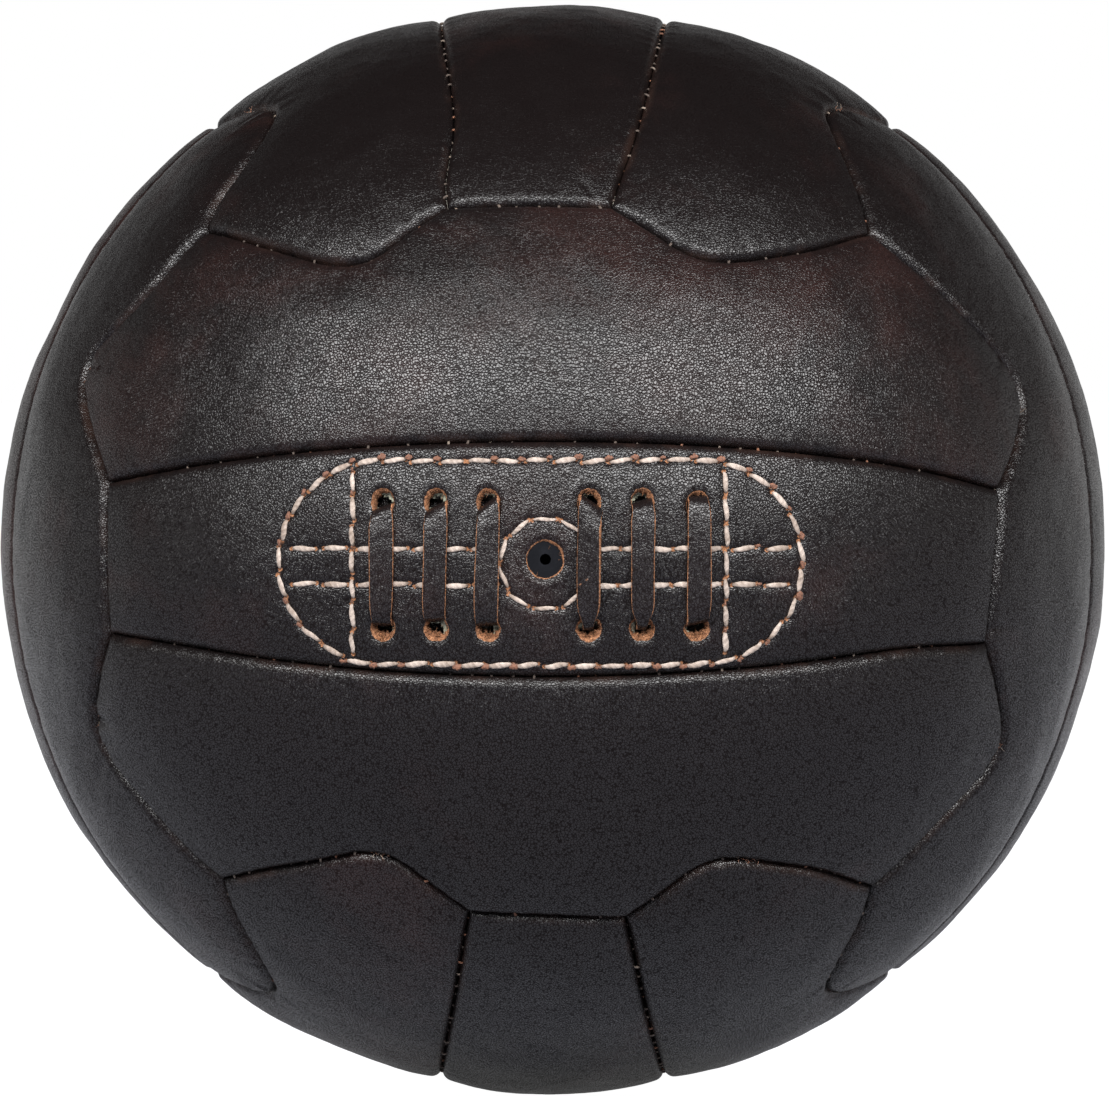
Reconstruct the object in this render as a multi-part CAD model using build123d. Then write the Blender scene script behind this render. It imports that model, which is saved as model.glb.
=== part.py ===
from build123d import *
from math import atan2, cos, degrees, hypot, pi, radians, sin, sqrt, tan
import os

# A laced ball of eighteen leather panels, in millimetres. The origin is the ball's centre, +Z is up,
# and the lacing patch with the needle valve faces -Y.

# Radii of the layers, from the outside in
ball_radius = 115.0
leather_thickness = 2.4
lining_thickness = 0.6
backing_thickness = 1.0
washer_thickness = 0.7
flange_foot_radius = 108.8
padding_radius = 108.6
pillow_radius = 111.8
bladder_radius = 80.0
bladder_wall = 1.2
base_patch_thickness = 1.5

# Seams between the panels
seam_half_gap = 0.15
flange_thickness = 1.2
lining_edge_gap = 0.1
pillow_edge_gap = 0.45
strip_half_angle = 12.0
end_seam_lobe = [
    (7.57, 51.3),
    (11.5, 54.2),
    (15.3, 56.9),
    (18.5, 57.7),
    (22.5, 56.4),
    (28.5, 51.9),
    (35.264, 45.0),
    (38.0, 42.4),
]
cone_near = 30.0
cone_far = 126.0

# Seam thread
seam_stitch_pitch = 4.3
seam_thread_radius = 0.4
seam_stitch_radius = 110.4
seam_stitch_length = 3.3
strip_seam_end_margin = 5.0
edge_seam_corner_margin = 5.0

# Lacing patch, measured across the ball from the valve
patch_side = -1.2
patch_drop = -0.8
patch_half_width = 52.4
patch_half_height = 20.5
patch_hem = 0.35
bar_columns = (-38.8, 36.0)
row_heights = (2.0, -5.2)
valve_ring_radius = 8.9
lace_columns = (-32.6, -21.9, -11.5, 8.7, 19.3, 30.3)
lace_top = 11.7
lace_bottom = -14.3
lace_width = 5.2
lace_thickness = 1.3
lace_lift = 0.5
lace_under_radius = 110.7
lace_tail = 12.0
slot_length = 6.0
slot_height = 3.0

# Stitches of the patch
patch_stitch_pitch = 5.7
patch_stitch_length = 4.4
patch_stitch_width = 1.1
patch_stitch_height = 0.45
patch_stitch_leg_radius = 0.3
patch_stitch_depth = 3.9

# Needle valve
valve_hole_radius = 3.9
nipple_radius = 3.7
nipple_top = 114.2
stem_radius = 5.0
stem_bore_radius = 2.5
stem_flange_radius = 8.5
stem_flange_bottom = 109.0
stem_flange_top = 110.3
washer_radius = 9.2
base_patch_radius = 15.0
plug_bottom = 100.0
needle_bore_radius = 1.1
needle_bore_depth = 10.0

# Layer radii that follow from the driving ones
leather_inside = ball_radius - leather_thickness
lining_inside = leather_inside - lining_thickness
backing_inside = lining_inside - backing_thickness
washer_inside = backing_inside - washer_thickness

# Each face of the ball: its outward normal and the direction that its three strips run in
faces = {
    "front": ((0, -1, 0), (1, 0, 0)),
    "back": ((0, 1, 0), (-1, 0, 0)),
    "top": ((0, 0, 1), (0, 1, 0)),
    "bottom": ((0, 0, -1), (0, -1, 0)),
    "left": ((-1, 0, 0), (0, 0, 1)),
    "right": ((1, 0, 0), (0, 0, -1)),
}
strip_names = {
    "front": ("upper", "lace", "lower"),
    "back": ("upper", "middle", "lower"),
    "top": ("left", "middle", "right"),
    "bottom": ("left", "middle", "right"),
    "left": ("back", "middle", "front"),
    "right": ("back", "middle", "front"),
}


def face_location(normal, strip_direction):
    """Puts the canonical face, which looks along +Z with its strips along X, on one side of the ball."""
    return Plane(origin=(0, 0, 0), x_dir=strip_direction, z_dir=normal).location


def gnomonic(latitude, longitude):
    """A direction from the centre as a point of the plane at distance 1 in front of the face."""
    lat = radians(latitude)
    lon = radians(longitude)
    return Vector(tan(lon), tan(lat) / cos(lon))


def seam_normal(points, index):
    """Unit step (latitude, longitude) square to an end seam and away from the face, at one of its points."""
    lat0, lon0 = points[max(index - 1, 0)]
    lat1, lon1 = points[min(index + 1, len(points) - 1)]
    shrink = cos(radians(points[index][0]))
    along_lat = lat1 - lat0
    along_lon = (lon1 - lon0) * shrink
    size = hypot(along_lat, along_lon)
    return -along_lon / size, along_lat / size / shrink


def shifted_lobe(shift):
    """The lobe of an end seam moved outwards by shift millimetres on the ball, as plane points."""
    step = degrees(shift / ball_radius)
    moved = []
    for index, (latitude, longitude) in enumerate(end_seam_lobe):
        up, out = seam_normal(end_seam_lobe, index)
        if index == 0:
            up, out = 0.0, 1.0
        moved.append(gnomonic(latitude + up * step, longitude + out * step))
    return moved


def face_cone(shift):
    """Everything that one face's two end seams enclose, as a cone from near the centre outwards."""
    lobe = shifted_lobe(shift)
    lower_right = [Vector(p.X, -p.Y) for p in reversed(lobe)]
    upper_left = [Vector(-p.X, p.Y) for p in reversed(lobe)]
    lower_left = [Vector(-p.X, -p.Y) for p in lobe]

    def outline(distance):
        def place(points):
            return [Vector(p.X * distance, p.Y * distance, distance) for p in points]

        runs = [place(run) for run in (lower_right, lobe, upper_left, lower_left)]
        edges = []
        for number, run in enumerate(runs):
            edges.append(Spline(*run))
            edges.append(Line(run[-1], runs[(number + 1) % len(runs)][0]))
        return Face(Wire(edges))

    return Solid.make_loft([outline(cone_near).outer_wire(), outline(cone_far).outer_wire()], ruled=True)


def face_region(shift):
    """One canonical face without what its upper and lower neighbours take."""
    own = face_cone(-shift)
    neighbour = face_cone(shift)
    upper = Plane(origin=(0, 0, 0), x_dir=(0, 0, 1), z_dir=(0, 1, 0)).location * neighbour
    lower = Plane(origin=(0, 0, 0), x_dir=(0, 0, 1), z_dir=(0, -1, 0)).location * neighbour
    return own - upper - lower


def strip_wedge(middle, shift):
    """The wedge about the strips' axis that holds the middle strip, or the one beside it on +Y."""
    slope = tan(radians(strip_half_angle))
    offset = shift / cos(radians(strip_half_angle))
    reach = 2 * ball_radius
    if middle:
        corners = [(0, offset / slope), (reach * slope - offset, reach), (offset - reach * slope, reach)]
    else:
        corners = [(offset, 0), (offset + reach * slope, reach), (2 * reach, reach), (2 * reach, 0)]
    section = Plane(origin=(-reach, 0, 0), x_dir=(0, 1, 0), z_dir=(1, 0, 0)) * make_face(Polyline(*corners, close=True))
    return extrude(section, amount=2 * reach, dir=(1, 0, 0))


def shell(outer, inner):
    """A hollow ball between two radii."""
    return Sphere(outer) - Sphere(inner)


def strip_region(middle, shift):
    """The cone over one strip, with every edge moved inwards by shift millimetres."""
    return face_region(shift) & strip_wedge(middle, shift)


def make_panel(middle):
    """A leather strip with its edges turned in and down, where the seams hold it."""
    hollow = strip_region(middle, seam_half_gap + flange_thickness) & Sphere(leather_inside)
    return (strip_region(middle, seam_half_gap) & shell(ball_radius, flange_foot_radius)) - hollow


def make_lining(middle):
    """The canvas bonded to the back of a strip, between its turned-in edges."""
    inset = seam_half_gap + flange_thickness + lining_edge_gap
    return strip_region(middle, inset) & shell(leather_inside, lining_inside)


def make_pillow(middle):
    """The padding that fills the pocket behind a strip."""
    inset = seam_half_gap + flange_thickness + pillow_edge_gap
    return strip_region(middle, inset) & shell(pillow_radius, padding_radius - 2)


def pin(position, direction, radius, length):
    """A short round bar centred on a position."""
    bar = Plane(origin=position, z_dir=direction)
    return bar.location * Cylinder(radius, length)


def strip_seam_stitches():
    """The stitches through the turned-in edges along one canonical strip seam."""
    slant = radians(strip_half_angle)
    half_run = seam_stitch_radius * radians(end_seam_lobe[0][1]) - strip_seam_end_margin
    count = round(2 * half_run / seam_stitch_pitch)
    across = Vector(0, cos(slant), -sin(slant))
    stitches = []
    for index in range(count + 1):
        turn = (2 * index / count - 1) * half_run / seam_stitch_radius
        spot = Vector(sin(turn), cos(turn) * sin(slant), cos(turn) * cos(slant)) * seam_stitch_radius
        stitches.append(pin(spot, across, seam_thread_radius, seam_stitch_length))
    return stitches


def end_seam_spots():
    """Evenly spaced spots and cross directions along one canonical end seam, as unit vectors."""
    corner = 6
    half = [(0.0, end_seam_lobe[0][1])] + end_seam_lobe[: corner + 1]
    profile = [(-lat, lon) for lat, lon in reversed(half[1:])] + half

    def spot(latitude, longitude):
        lat = radians(latitude)
        lon = radians(longitude)
        return Vector(cos(lat) * sin(lon), sin(lat), cos(lat) * cos(lon))

    spots = [spot(*point) for point in profile]
    lengths = [0.0]
    for before, after in zip(spots, spots[1:]):
        lengths.append(lengths[-1] + (after - before).length * seam_stitch_radius)
    run = lengths[-1] - 2 * edge_seam_corner_margin
    count = round(run / seam_stitch_pitch)
    placed = []
    for index in range(count + 1):
        reach = edge_seam_corner_margin + run * index / count
        piece = max(i for i, length in enumerate(lengths[:-1]) if length <= reach)
        share = (reach - lengths[piece]) / (lengths[piece + 1] - lengths[piece])
        along = spots[piece + 1] - spots[piece]
        here = (spots[piece] + along * share).normalized()
        placed.append((here, here.cross(along).normalized()))
    return placed


def end_seam_stitches():
    """The stitches through the turned-in edges along one canonical end seam."""
    return [
        pin(here * seam_stitch_radius, across, seam_thread_radius, seam_stitch_length)
        for here, across in end_seam_spots()
    ]


def patch_point(side, up, radius):
    """The point of a sphere that is straight in front of a place on the patch."""
    return Vector(side, -sqrt(radius**2 - side**2 - up**2), up)


def patch_prism(sketch, near, far):
    """A sketch in the patch's X and Z, made solid from near to far in front of the centre."""
    flat = Plane(origin=(0, -near, 0), x_dir=(1, 0, 0), z_dir=(0, -1, 0)) * sketch
    return extrude(flat, amount=far - near, dir=(0, -1, 0))


def patch_stadium(half_width, half_height):
    """The round-ended outline of the lacing patch."""
    return Pos(patch_side, patch_drop) * SlotOverall(2 * half_width, 2 * half_height)


def lace_slots():
    """The twelve holes that the lace passes through, as solids to cut with."""
    slot = SlotOverall(slot_length, slot_height)
    return [
        patch_prism(Pos(column, height) * slot, lining_inside - 20, ball_radius + 5)
        for column in lace_columns
        for height in (lace_top, lace_bottom)
    ]


def valve_hole(radius):
    """A round hole about the valve's axis, as a solid to cut with."""
    return patch_prism(Circle(radius), lining_inside - 20, ball_radius + 5)


def pierce_patch(layer, radius):
    """Opens a layer for the lace and for the valve."""
    return layer - lace_slots() - valve_hole(radius)


def make_backing_patch():
    """The canvas behind the lacing patch, which its stitches and the lace hold."""
    outline = patch_stadium(patch_half_width + patch_hem, patch_half_height + patch_hem)
    return pierce_patch(patch_prism(outline, 80, ball_radius) & shell(lining_inside, backing_inside), valve_hole_radius)


def make_washer():
    """The ring between the backing patch and the valve's flange."""
    ring = Circle(washer_radius) - Circle(valve_hole_radius)
    return patch_prism(ring, 90, ball_radius) & shell(backing_inside, washer_inside)


def make_valve_housing():
    """The moulded stem: its foot stands on the bladder's patch and its nipple fills the hole in the cover."""
    foot = bladder_radius + base_patch_thickness
    stem = patch_prism(Circle(stem_radius), foot - 2, stem_flange_bottom + 0.5) - Sphere(foot)
    flange = patch_prism(Circle(stem_flange_radius), 90, ball_radius) & shell(stem_flange_top, stem_flange_bottom)
    nipple = patch_prism(Circle(nipple_radius), stem_flange_bottom + 0.2, nipple_top)
    bore = patch_prism(Circle(stem_bore_radius), foot - 5, ball_radius)
    return stem + flange + nipple - bore


def make_valve_plug():
    """The self-sealing core, with the bore that the pump's needle goes into."""
    core = patch_prism(Circle(stem_bore_radius), plug_bottom, nipple_top)
    return core - patch_prism(Circle(needle_bore_radius), nipple_top - needle_bore_depth, ball_radius)


def make_base_patch():
    """The disc that joins the stem to the bladder."""
    disc = patch_prism(Circle(base_patch_radius), 60, 90) & shell(bladder_radius + base_patch_thickness, bladder_radius)
    return disc - patch_prism(Circle(stem_bore_radius), 60, 90)


def make_bladder():
    """The air bladder, open where the stem's air passage meets it."""
    return shell(bladder_radius, bladder_radius - bladder_wall) - patch_prism(Circle(stem_bore_radius), 60, 90)


def make_padding(pillows):
    """The front and back halves of the padding around the bladder and the stem."""
    room = 0.3
    whole = Sphere(padding_radius) + pillows
    whole -= Sphere(bladder_radius + room)
    whole -= patch_prism(Circle(stem_radius + room), 60, ball_radius)
    pocket_top = bladder_radius + base_patch_thickness + room
    whole -= patch_prism(Circle(base_patch_radius + room), 60, 100) & Sphere(pocket_top)
    reach = 3 * ball_radius
    front = whole & Pos(0, -reach / 2, 0) * Box(reach, reach, reach)
    back = whole & Pos(0, reach / 2, 0) * Box(reach, reach, reach)
    return front, back


def patch_stitch(side, up, along_side, along_up):
    """One stitch on the patch: a flat run of thread on the leather with its two ends going down."""
    origin = patch_point(side, up, ball_radius)
    outward = origin.normalized()
    ahead = patch_point(side + along_side * 0.1, up + along_up * 0.1, ball_radius) - origin
    half = patch_stitch_length / 2
    run = Pos(0, 0, patch_stitch_height / 2) * Box(patch_stitch_length, patch_stitch_width, patch_stitch_height)
    leg_length = patch_stitch_depth + patch_stitch_height / 2
    leg = Cylinder(patch_stitch_leg_radius, leg_length)
    leg_middle = patch_stitch_height / 2 - leg_length / 2
    legs = [Pos(end * (half - patch_stitch_leg_radius), 0, leg_middle) * leg for end in (-1, 1)]
    return Plane(origin=origin, x_dir=ahead, z_dir=outward).location * (run + legs)


def stitch_run(point_at, length):
    """Stitches spread evenly along a path, given its length and its point and direction at a share of it."""
    count = round(length / patch_stitch_pitch)
    return [patch_stitch(*point_at((index + 0.5) / count)) for index in range(count)]


def stadium_path(share):
    """The place and direction on the patch's outline at a share of its length, from its top left corner."""
    straight = 2 * (patch_half_width - patch_half_height)
    bend = pi * patch_half_height
    reach = share * 2 * (straight + bend)
    flip = 1
    if reach > straight + bend:
        reach -= straight + bend
        flip = -1
    if reach <= straight:
        side, up, along = reach - straight / 2, patch_half_height, (1, 0)
    else:
        turn = (reach - straight) / patch_half_height
        side = straight / 2 + patch_half_height * sin(turn)
        up = patch_half_height * cos(turn)
        along = (cos(turn), -sin(turn))
    return patch_side + flip * side, patch_drop + flip * up, flip * along[0], flip * along[1]


def outline_length():
    """The length of the patch's outline."""
    return 4 * (patch_half_width - patch_half_height) + 2 * pi * patch_half_height


def outline_chord(side):
    """Half the height of the patch's outline at a column, or all of it where the outline is straight."""
    past = abs(side - patch_side) - (patch_half_width - patch_half_height)
    return sqrt(patch_half_height**2 - max(past, 0) ** 2)


def bar_stitches(column):
    """One upright bar of stitches from edge to edge of the patch."""
    margin = 1.0
    half = outline_chord(column) - margin

    def point_at(share):
        return column, patch_drop + half * (2 * share - 1), 0, 1

    return stitch_run(point_at, 2 * half)


def row_stitches(height):
    """One long row of stitches, from the outline to the valve's ring on both sides."""
    margin = 1.0
    rise = height - patch_drop
    half = patch_half_width - patch_half_height + sqrt(patch_half_height**2 - rise**2) - margin
    ring = sqrt(valve_ring_radius**2 - (height - patch_drop) ** 2) + margin
    stitches = []
    for start, end in ((patch_side - half, -ring), (ring, patch_side + half)):

        def point_at(share):
            return start + (end - start) * share, height, 1, 0

        stitches += stitch_run(point_at, end - start)
    return clear_of_bars(stitches)


def clear_of_bars(stitches):
    """Leaves out the stitches of a row that would lie on an upright bar."""
    keep_clear = (patch_stitch_length + patch_stitch_width) / 2
    kept = []
    for stitch in stitches:
        middle = stitch.center().X
        if all(abs(middle - column) > keep_clear for column in bar_columns):
            kept.append(stitch)
    return kept


def ring_stitches():
    """The ring of stitches around the valve."""

    def point_at(share):
        turn = 2 * pi * share
        return valve_ring_radius * cos(turn), patch_drop + valve_ring_radius * sin(turn), -sin(turn), cos(turn)

    return stitch_run(point_at, 2 * pi * valve_ring_radius)


def lace_strap(column):
    """One strap of the lace over the leather, with its two ends going down through their holes."""
    inner = ball_radius + lace_lift
    outer = inner + lace_thickness
    half = lace_thickness / 2
    top = lace_top + half
    bottom = lace_bottom - half
    strip = Pos(column, (top + bottom) / 2) * Rectangle(lace_width, top - bottom)
    strap = patch_prism(strip, 90, 130) & shell(outer, inner)
    for height in (lace_top, lace_bottom):
        end = Pos(column, height) * Rectangle(lace_width, lace_thickness)
        strap += patch_prism(end, 100, 130) & shell(outer - lace_thickness / 2, lace_under_radius - lace_thickness / 2)
    return strap


def lace_under_run(start, end):
    """One run of the lace behind the backing patch, from hole to hole."""
    run = Vector(end[0] - start[0], end[1] - start[1])
    middle = ((start[0] + end[0]) / 2, (start[1] + end[1]) / 2)
    turn = degrees(atan2(run.Y, run.X))
    strip = Pos(*middle) * Rot(0, 0, turn) * Rectangle(run.length + lace_thickness, lace_width)
    return patch_prism(strip, 90, 130) & shell(lace_under_radius, lace_under_radius - lace_thickness)


def make_lace():
    """The whole thong: both tails, six straps and the runs behind, down to the right and then up again."""
    first, second, third, fourth, fifth, sixth = lace_columns
    runs = [
        ((first - lace_tail, lace_top), (first, lace_top)),
        ((first, lace_bottom), (second, lace_top)),
        ((second, lace_bottom), (third, lace_top)),
        ((third, lace_bottom), (fourth, lace_bottom)),
        ((fourth, lace_top), (fifth, lace_bottom)),
        ((fifth, lace_top), (sixth, lace_bottom)),
        ((sixth, lace_top), (sixth + lace_tail, lace_top)),
    ]
    lace = lace_strap(first)
    for column in lace_columns[1:]:
        lace += lace_strap(column)
    for start, end in runs:
        lace += lace_under_run(start, end)
    return lace


def write(name, shape):
    """Writes one node, whose shape may be a list of separate solids."""
    if isinstance(shape, list):
        shape = Compound(children=shape)
    export_step(shape, f"parts/{name}.step")


def main():
    os.makedirs("parts", exist_ok=True)
    panels = {True: make_panel(True), False: make_panel(False)}
    linings = {True: make_lining(True), False: make_lining(False)}
    pillows = {True: make_pillow(True), False: make_pillow(False)}
    half_turn = Rot(0, 0, 180)
    strip_turns = (Rot(0, 0, 0), Rot(0, 0, 0), half_turn)
    strip_stitches = strip_seam_stitches()
    end_stitches = end_seam_stitches()
    placed_pillows = []
    placed_strip_stitches = []
    placed_end_stitches = []
    for face, (normal, strip_direction) in faces.items():
        place = face_location(normal, strip_direction)
        for number, (strip, turn) in enumerate(zip(strip_names[face], strip_turns)):
            middle = number == 1
            panel = place * turn * panels[middle]
            lining = place * turn * linings[middle]
            if strip == "lace":
                panel = pierce_patch(panel, valve_hole_radius)
                lining = pierce_patch(lining, valve_hole_radius)
            else:
                placed_pillows.append(place * turn * pillows[middle])
            write(f"{face}_{strip}_panel", panel)
            write(f"{face}_{strip}_lining", lining)
        for turn in (Rot(0, 0, 0), half_turn):
            placed_strip_stitches += [place * turn * stitch for stitch in strip_stitches]
            placed_end_stitches += [place * turn * stitch for stitch in end_stitches]
    write("strip_seam_threads", placed_strip_stitches)
    write("edge_seam_threads", placed_end_stitches)
    write("lace", make_lace())
    write("lace_backing_patch", make_backing_patch())
    write("valve_washer", make_washer())
    write("outline_stitches", stitch_run(stadium_path, outline_length()))
    write("left_bar_stitches", bar_stitches(bar_columns[0]))
    write("right_bar_stitches", bar_stitches(bar_columns[1]))
    write("upper_row_stitches", row_stitches(row_heights[0]))
    write("lower_row_stitches", row_stitches(row_heights[1]))
    write("valve_ring_stitches", ring_stitches())
    write("bladder", make_bladder())
    write("valve_base_patch", make_base_patch())
    write("valve_housing", make_valve_housing())
    write("valve_plug", make_valve_plug())
    front_half, back_half = make_padding(placed_pillows)
    write("padding_front_half", front_half)
    write("padding_back_half", back_half)


if __name__ == "__main__":
    main()
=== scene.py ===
import math

import bpy
import numpy as np
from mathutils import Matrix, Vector


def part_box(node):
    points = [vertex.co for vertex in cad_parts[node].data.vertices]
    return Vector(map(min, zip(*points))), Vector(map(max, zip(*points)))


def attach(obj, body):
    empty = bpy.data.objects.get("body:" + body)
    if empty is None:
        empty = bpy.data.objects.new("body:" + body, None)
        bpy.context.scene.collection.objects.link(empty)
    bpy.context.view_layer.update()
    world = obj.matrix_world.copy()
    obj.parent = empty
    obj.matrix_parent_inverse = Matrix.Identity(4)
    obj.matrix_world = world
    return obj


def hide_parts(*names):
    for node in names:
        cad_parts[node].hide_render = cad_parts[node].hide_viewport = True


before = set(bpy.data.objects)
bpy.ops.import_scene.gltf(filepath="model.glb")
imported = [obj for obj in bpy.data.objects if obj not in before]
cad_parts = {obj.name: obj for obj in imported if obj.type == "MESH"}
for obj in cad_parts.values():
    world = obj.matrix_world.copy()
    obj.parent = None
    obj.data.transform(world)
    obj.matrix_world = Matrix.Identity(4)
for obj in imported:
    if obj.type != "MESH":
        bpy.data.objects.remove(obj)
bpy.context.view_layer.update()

# The looks of a laced ball of eighteen leather panels. Sizes are in millimetres until a mesh is made,
# and MM turns them into the frame's metres. +Z is up, and the lacing patch faces -Y.

MM = 0.001
RADIUS = (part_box("right_middle_panel")[1].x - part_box("left_middle_panel")[0].x) / 2 / MM
FLANGE_FOOT = 109.0
LEATHER_INSIDE = 112.6
LEATHER_FOLD = 1.25
CANVAS_FOLD = 1.5
CANVAS_THICKNESS = 0.55
GLUE_GAP = 0.05

# The faces of the ball: outward normal and the direction that the face's three strips run in
FACES = {
    "front": ((0, -1, 0), (1, 0, 0)),
    "back": ((0, 1, 0), (-1, 0, 0)),
    "top": ((0, 0, 1), (0, 1, 0)),
    "bottom": ((0, 0, -1), (0, -1, 0)),
    "left": ((-1, 0, 0), (0, 0, 1)),
    "right": ((1, 0, 0), (0, 0, -1)),
}
STRIPS = {
    "front": ("upper", "lace", "lower"),
    "back": ("upper", "middle", "lower"),
    "top": ("left", "middle", "right"),
    "bottom": ("left", "middle", "right"),
    "left": ("back", "middle", "front"),
    "right": ("back", "middle", "front"),
}
STRIP_HALF_ANGLE = math.radians(12.0)

# Half of an end seam, as latitude across the face and longitude along it, from strip seam to corner
LOBE = [(7.57, 51.3), (11.5, 54.2), (15.3, 56.9), (18.5, 57.7), (22.5, 56.4), (28.5, 51.9), (35.264, 45.0)]
SEAM_SAMPLE = 0.25
STITCH_PITCH = 4.3

# Where hand sewing has pulled the seams off their regular places: a place, a shift and how far it reaches
NUDGES = [
    ((-0.58, -0.58, 0.58), (-4.5, 5.5, 0.5), 18),
    ((-0.59, -0.56, -0.58), (-1.5, 2.5, -1.0), 18),
    ((0.58, -0.55, -0.60), (0.5, 3.5, -2.5), 18),
    ((-0.78, -0.61, 0.13), (-1.0, 1.5, -0.5), 18),
    ((-0.78, -0.61, -0.14), (-1.0, 1.5, -0.5), 18),
    ((0.80, -0.59, 0.12), (2.5, 3.0, -2.0), 18),
    ((0.78, -0.61, -0.16), (0.5, 1.5, -2.0), 18),
    ((-0.18, -0.76, 0.62), (-5.5, 1.5, 0.0), 18),
    ((0.11, -0.77, 0.62), (-1.5, 0.0, 0.0), 18),
    ((-0.14, -0.76, -0.63), (-1.0, 1.5, -1.5), 18),
    ((0.14, -0.75, -0.64), (1.0, 2.5, -2.5), 18),
    ((-0.38, -0.76, 0.52), (-3.5, 3.0, 2.0), 18),
    ((0.32, -0.79, 0.52), (-2.5, 0.5, 2.5), 18),
    ((-0.37, -0.76, -0.53), (1.0, 1.5, -3.0), 18),
    ((0.35, -0.77, -0.54), (-0.5, 2.5, -4.0), 18),
    ((-0.84, -0.46, 0.30), (-3.5, 8.5, 3.0), 18),
    ((-0.82, -0.50, -0.28), (-0.5, 2.5, -2.5), 18),
    ((0.84, -0.48, 0.24), (4.0, 7.5, 1.0), 18),
    ((0.81, -0.51, -0.29), (0.5, 3.5, -4.5), 18),
    ((0.80, 0.58, 0.12), (0.0, 0.0, 2.2), 18),
    ((-0.10, 0.78, 0.62), (3.0, 0.0, 0.0), 26),
    ((-0.78, 0.10, -0.60), (0.0, 2.6, 0.0), 24),
]

# The cover's section across a seam
ROLL_RADIUS = 2.0
EDGE_SAG = 1.1
EDGE_SAG_REACH = 6.0
HALF_GAP = 0.05
WIDER = 0.006

# Unevenness of the cover away from the seams: height and wavelength
COVER_RIPPLES = [(0.22, 46), (0.07, 17), (0.022, 6), (-0.012, 2.6)]


def unit(vectors):
    """Vectors of length one."""
    return vectors / np.linalg.norm(vectors, axis=-1, keepdims=True)


def ripples(points, wavelength, seed, count=28):
    """Smooth random heights of about unit size, with bumps about a wavelength apart."""
    rng = np.random.default_rng(seed)
    directions = unit(rng.normal(size=(count, 3)))
    lengths = wavelength * rng.uniform(0.65, 1.5, count)
    phases = rng.uniform(0, 2 * math.pi, count)
    return np.cos(2 * math.pi * (points @ directions.T) / lengths + phases).sum(1) * math.sqrt(2 / count)


def curve_through(points, count):
    """A smooth curve through points, sampled evenly in parameter."""
    points = np.array(points, float)
    slopes = np.gradient(points, axis=0)
    spots = np.linspace(0, len(points) - 1, count)
    piece = np.minimum(spots.astype(int), len(points) - 2)
    t = (spots - piece)[:, None]
    before, after = points[piece], points[piece + 1]
    return (
        before * (2 * t**3 - 3 * t**2 + 1)
        + slopes[piece] * (t**3 - 2 * t**2 + t)
        + after * (3 * t**2 - 2 * t**3)
        + slopes[piece + 1] * (t**3 - t**2)
    )


def even(curve, count):
    """A curve on the unit ball, sampled evenly along its length."""
    steps = np.linalg.norm(np.diff(curve, axis=0), axis=1)
    reach = np.concatenate([[0], np.cumsum(steps)])
    wanted = np.linspace(0, reach[-1], count)
    return unit(np.stack([np.interp(wanted, reach, curve[:, k]) for k in range(3)], 1))


def length_of(curve):
    """The length on the ball, in millimetres, of a curve of unit vectors."""
    return np.linalg.norm(np.diff(curve, axis=0), axis=1).sum() * RADIUS


# A face's own axes are (along its strips, across them, outwards)

def strip_seam(side):
    """The seam between the middle strip and the one beside it, from end to end."""
    turn = np.linspace(-1, 1, 900) * math.radians(LOBE[0][1])
    across = side * math.sin(STRIP_HALF_ANGLE)
    return np.stack([np.sin(turn), np.cos(turn) * across, np.cos(turn) * math.cos(STRIP_HALF_ANGLE)], 1)


def lobe(end, side):
    """The part of an end seam that ends an outer strip, from the strip seam to the corner."""
    latitude, longitude = np.radians(curve_through(LOBE, 400)).T
    return np.stack(
        [
            end * np.cos(latitude) * np.sin(longitude),
            side * np.sin(latitude),
            np.cos(latitude) * np.cos(longitude),
        ],
        1,
    )


def middle_end(end):
    """The part of an end seam that ends the middle strip, across the strips."""
    first = lobe(end, -1)[0]
    last = lobe(end, 1)[0]
    share = np.linspace(0, 1, 160)[:, None]
    return unit(first * (1 - share) + last * share)


def end_seam(end):
    """A whole end seam, across the three strips."""
    return np.concatenate([lobe(end, -1)[::-1], middle_end(end)[1:-1], lobe(end, 1)])


def neighbour_seam(side):
    """The neighbouring face's end seam, which closes an outer strip, along the strips."""
    own = end_seam(1)
    return np.stack([own[:, 1], side * own[:, 2], own[:, 0]], 1)


def face_axes(face):
    """A face's axes as rows: along the strips, across them, outwards."""
    outward, along = (np.array(v, float) for v in FACES[face])
    return np.stack([along, np.cross(outward, along), outward])


def pulled(directions):
    """The places on the ball after hand sewing has pulled them about."""
    moved = directions.copy()
    for place, shift, reach in NUDGES:
        centre = unit(np.array(place))
        apart = np.linalg.norm(directions - centre, axis=1) * RADIUS
        moved += np.exp(-((apart / reach) ** 2))[:, None] * np.array(shift) / RADIUS
    return unit(moved)


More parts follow.
